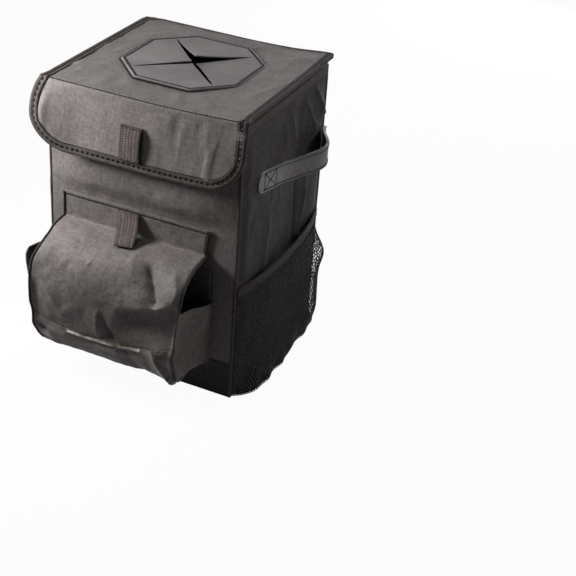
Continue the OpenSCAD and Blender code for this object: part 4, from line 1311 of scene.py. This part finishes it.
def netting(sign, name):
    def point(y, v):
        z = NET_LOW + (NET_TOP - NET_LOW - NET_BIND_H + 2) * v + net_rise(y) * v
        return xyz(sign * (SIDE + net_out(y, z)), y, z)

    columns = int(2 * PANEL_Y / NET_PITCH) + 8
    rows = int((NET_TOP - NET_LOW) / (NET_PITCH * 0.866))
    fine = np.linspace(-PANEL_Y + 0.3, PANEL_Y - 0.3, 400)
    points, faces = [], []
    for r, v in enumerate(np.linspace(0, 1, rows)):
        # Even steps along the bulged netting, so the cells keep their size where it turns back to the side
        along = lengths(point(fine, v))
        y = np.interp((np.arange(columns) + 0.5 * (r % 2)) / (columns - 0.5) * along[-1], along, fine)
        points.append(point(y, v))
        for a in range(r * columns, (r + 1) * columns - 1) if r < rows - 1 else ():
            b, d, e = a + 1, a + columns, a + columns + 1
            faces.extend([(a, b, e), (a, e, d)] if r % 2 else [(a, b, d), (b, e, d)])
    net = grow("netting_" + name, np.concatenate(points), [], faces, NETTING, {}, Thread=NET_RADIUS, Sides=4,
               Material=NET_THREAD)
    dress(net, NET_THREAD, "net_" + name)

    def under(y, t):
        reach = SIDE - 0.5 + t * (net_out(y, NET_LOW) - 0.6)
        return xyz(sign * reach, y, NET_LOW + 0.5 + 2 * t * (1 - t))

    floor = Cloth().lay(under, across(PANEL_Y - 1, 3), np.linspace(0, 1, 5), 0.6, flip=sign > 0)
    floor.piece("net_floor_" + name, SHADE_DARKENED_FABRIC, slot="netting")
    y = across(PANEL_Y, 3)
    top = NET_TOP - NET_BIND_H / 2 + net_rise(y)
    path, outward = xyz(sign * (SIDE + net_out(y, top) + 0.2), y, top), np.array([sign, 0, 0])
    edge = Cloth().sweep(path, outward, rounded_bar(NET_BIND_H, 2.4, 1.0))
    edge.piece("elastic_" + name, ELASTIC, "net_elastic_" + name)
    stitch("elastic_stitches_" + name, [(path + outward * 1.25 - [0, 0, 3.8], outward)], "binding_tape", pitch=4.0)


# Handles

def strap_half(y):
    """Half the strap's width at a place along it, with its rounded front end."""
    into = np.clip(STRAP_END + STRAP_ROUND - y, 0, STRAP_ROUND)
    return STRAP_W / 2 - STRAP_ROUND + np.sqrt(np.maximum(STRAP_ROUND ** 2 - into ** 2, 0))


def handle(sign, name):
    """A strap that is sewn on at a slant in front and bows out behind. It hangs lower where it is free."""
    def place(u, v):
        t = clamp((u + STRAP_FREE) / (PANEL_Y - 0.4 + STRAP_FREE))
        bowed = STRAP_BOW * (1 - np.cos(2 * math.pi * t ** 1.45)) / 2
        middle = 232 - 0.2 * np.clip(u + 60, 0, 66) + 3.5 * smooth((u - 10) / 70)
        return xyz(sign * (side_x(u) + STRAP_T + bowed + 2.6), u, middle + v * strap_half(u))

    def relief(u, v):
        off = (1 - np.abs(v)) * strap_half(u)
        rolled = 0.55 * np.exp(-((off - 1.0) / 0.9) ** 2) - 0.45 * np.exp(-((off - 2.6) / 0.6) ** 2)
        return rolled - 0.9 * (1 - smooth(off / 0.9)) + 0.25 * crumple(u, v * 12, 15, 5)

    lengthwise = np.concatenate([STRAP_END + STRAP_ROUND * (1 - np.cos(np.linspace(0, math.pi / 2, 12)))[:-1],
                                 spread(STRAP_END + STRAP_ROUND, PANEL_Y - 0.5, 1.8)])
    strap = Cloth().lay(place, lengthwise, np.linspace(-1, 1, 34), STRAP_T, relief, flip=sign < 0,
                        span=(1, STRAP_W / 2))
    strap.piece("strap_" + name, STRAP, "handle_" + name)
    out = np.array([sign, 0, 0])
    on = lambda y, v: (place(y, v) + 0.15 * out, out)
    front, rear, w, t = -53.0, -26.0, 0.79, np.linspace(0, 1, 12)
    y = spread(front, PANEL_Y - 4, 3)
    rows = [on(y, -w), on(y, w)]
    # A square and its two diagonals where the strap is sewn on
    for y0, v0, y1, v1 in ((front, -w, front, w), (front, w, rear, w), (rear, w, rear, -w), (rear, -w, front, -w),
                           (front, -w, rear, w), (front, w, rear, -w)):
        rows.append(on(y0 + (y1 - y0) * t, v0 + (v1 - v0) * t))
    stitch("strap_stitches_" + name, rows, "strap_webbing", pitch=2.5, height=0.9)


def hidden_boards():
    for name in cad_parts:
        if name.endswith("_board") and name != "lid_board":
            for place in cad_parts[name].material_slots:
                place.material = BOARD


# Stage, lights and camera

AZIMUTH, ELEVATION, ROLL = 0.398325, 0.541929, 0.076630
DISTANCE = 1.4072
TARGET = Vector((0.12052, 0.0, 0.08694))
LENS, SENSOR = 84.0, 36.0
FLOOR_REACH = 12.0
# Azimuth and elevation in degrees, distance and size in metres, power in watts
LAMPS = {"key": (-66, 30, 0.34, 0.13, 2.05), "top": (-20, 68, 1.2, 0.4, 1.05), "right": (98, 22, 1.2, 0.4, 1.25),
         "back": (-150, 45, 1.2, 0.4, 1.8), "rear": (178, 8, 1.3, 0.6, 5.0)}
LAMP_TARGET, KEY_TARGET = (0, 0, 0.17), (-0.03, -0.1, 0.2)


def looking(azimuth, elevation):
    """Unit vector from the object towards a viewer or lamp: 0 is in front, positive to the right."""
    flat = math.cos(elevation)
    return Vector((math.sin(azimuth) * flat, -math.cos(azimuth) * flat, math.sin(elevation)))


def add_camera():
    view = looking(AZIMUTH, ELEVATION)
    right = (-view).cross(Vector(UP)).normalized()
    up = right.cross(-view)
    c, s = math.cos(ROLL), math.sin(ROLL)
    data = bpy.data.cameras.new("camera")
    data.lens, data.sensor_width = LENS, SENSOR
    camera = placed("camera", data)
    axes = Matrix((c * right + s * up, -s * right + c * up, view)).transposed().to_4x4()
    camera.matrix_world = Matrix.Translation(TARGET + DISTANCE * view) @ axes
    bpy.context.scene.camera = camera


def add_lamps():
    for name, (azimuth, elevation, distance, size, power) in LAMPS.items():
        data = bpy.data.lights.new(name, "AREA")
        data.shape, data.size, data.energy = "DISK", size, power
        lamp = placed(name, data)
        towards = looking(math.radians(azimuth), math.radians(elevation))
        lamp.location = Vector(KEY_TARGET if name == "key" else LAMP_TARGET) + distance * towards
        lamp.rotation_euler = (-towards).to_track_quat("-Z", "Y").to_euler()
        lamp.visible_camera = False


def empty_tree(owner):
    owner.use_nodes = True
    owner.node_tree.nodes.clear()
    return owner.node_tree


def seen_or_lit(tree, lit, seen):
    """One shader for light that falls on things, and another where the background itself is seen: by the
    camera, in gloss and through clear things."""
    path = tree.nodes.new("ShaderNodeLightPath").outputs
    either = node(tree, "ShaderNodeMath", {0: path["Is Camera Ray"], 1: path["Is Transmission Ray"]},
                  operation="MAXIMUM")
    direct = node(tree, "ShaderNodeMath", {0: either, 1: path["Is Glossy Ray"]}, operation="MAXIMUM")
    return node(tree, "ShaderNodeMixShader", {0: direct, 1: lit, 2: seen})


def add_world(strength):
    world = bpy.data.worlds.new("studio")
    bpy.context.scene.world = world
    tree = empty_tree(world)
    soft = node(tree, "ShaderNodeBackground", {"Color": (1, 0.985, 0.97, 1), "Strength": strength})
    white = node(tree, "ShaderNodeBackground", {"Color": (1, 1, 1, 1), "Strength": 1.0})
    node(tree, "ShaderNodeOutputWorld", {"Surface": seen_or_lit(tree, soft, white)})


def add_floor():
    """A pale floor that keeps the object's shadow and looks white to the camera."""
    mesh = bpy.data.meshes.new("floor")
    mesh.from_pydata([(x * FLOOR_REACH, y * FLOOR_REACH, 0) for x, y in ((-1, -1), (1, -1), (1, 1), (-1, 1))], [],
                     [(0, 1, 2, 3)])
    floor = placed("floor", mesh)
    material = bpy.data.materials.new("floor")
    tree = empty_tree(material)
    paint = node(tree, "ShaderNodeBsdfDiffuse", {"Color": (0.86, 0.86, 0.86, 1)})
    dim = node(tree, "ShaderNodeBsdfDiffuse", {"Color": (0.22, 0.22, 0.22, 1)})
    glow = node(tree, "ShaderNodeEmission", {"Color": (1, 1, 1, 1), "Strength": 1.0})
    pale = node(tree, "ShaderNodeMixShader", {0: 0.96, 1: paint, 2: glow})
    node(tree, "ShaderNodeOutputMaterial", {"Surface": seen_or_lit(tree, dim, pale)})
    mesh.materials.append(material)


def main():
    bpy.context.scene.view_settings.view_transform = "Standard"
    add_camera()
    add_world(0.008)
    add_floor()
    add_lamps()
    walls()
    base()
    piping()
    rim()
    liner()
    hinge()
    lid()
    mouth()
    lid_flap()
    pocket()
    for sign, name in ((1, "right"), (-1, "left")):
        netting(sign, name)
        handle(sign, name)
    hidden_boards()


main()
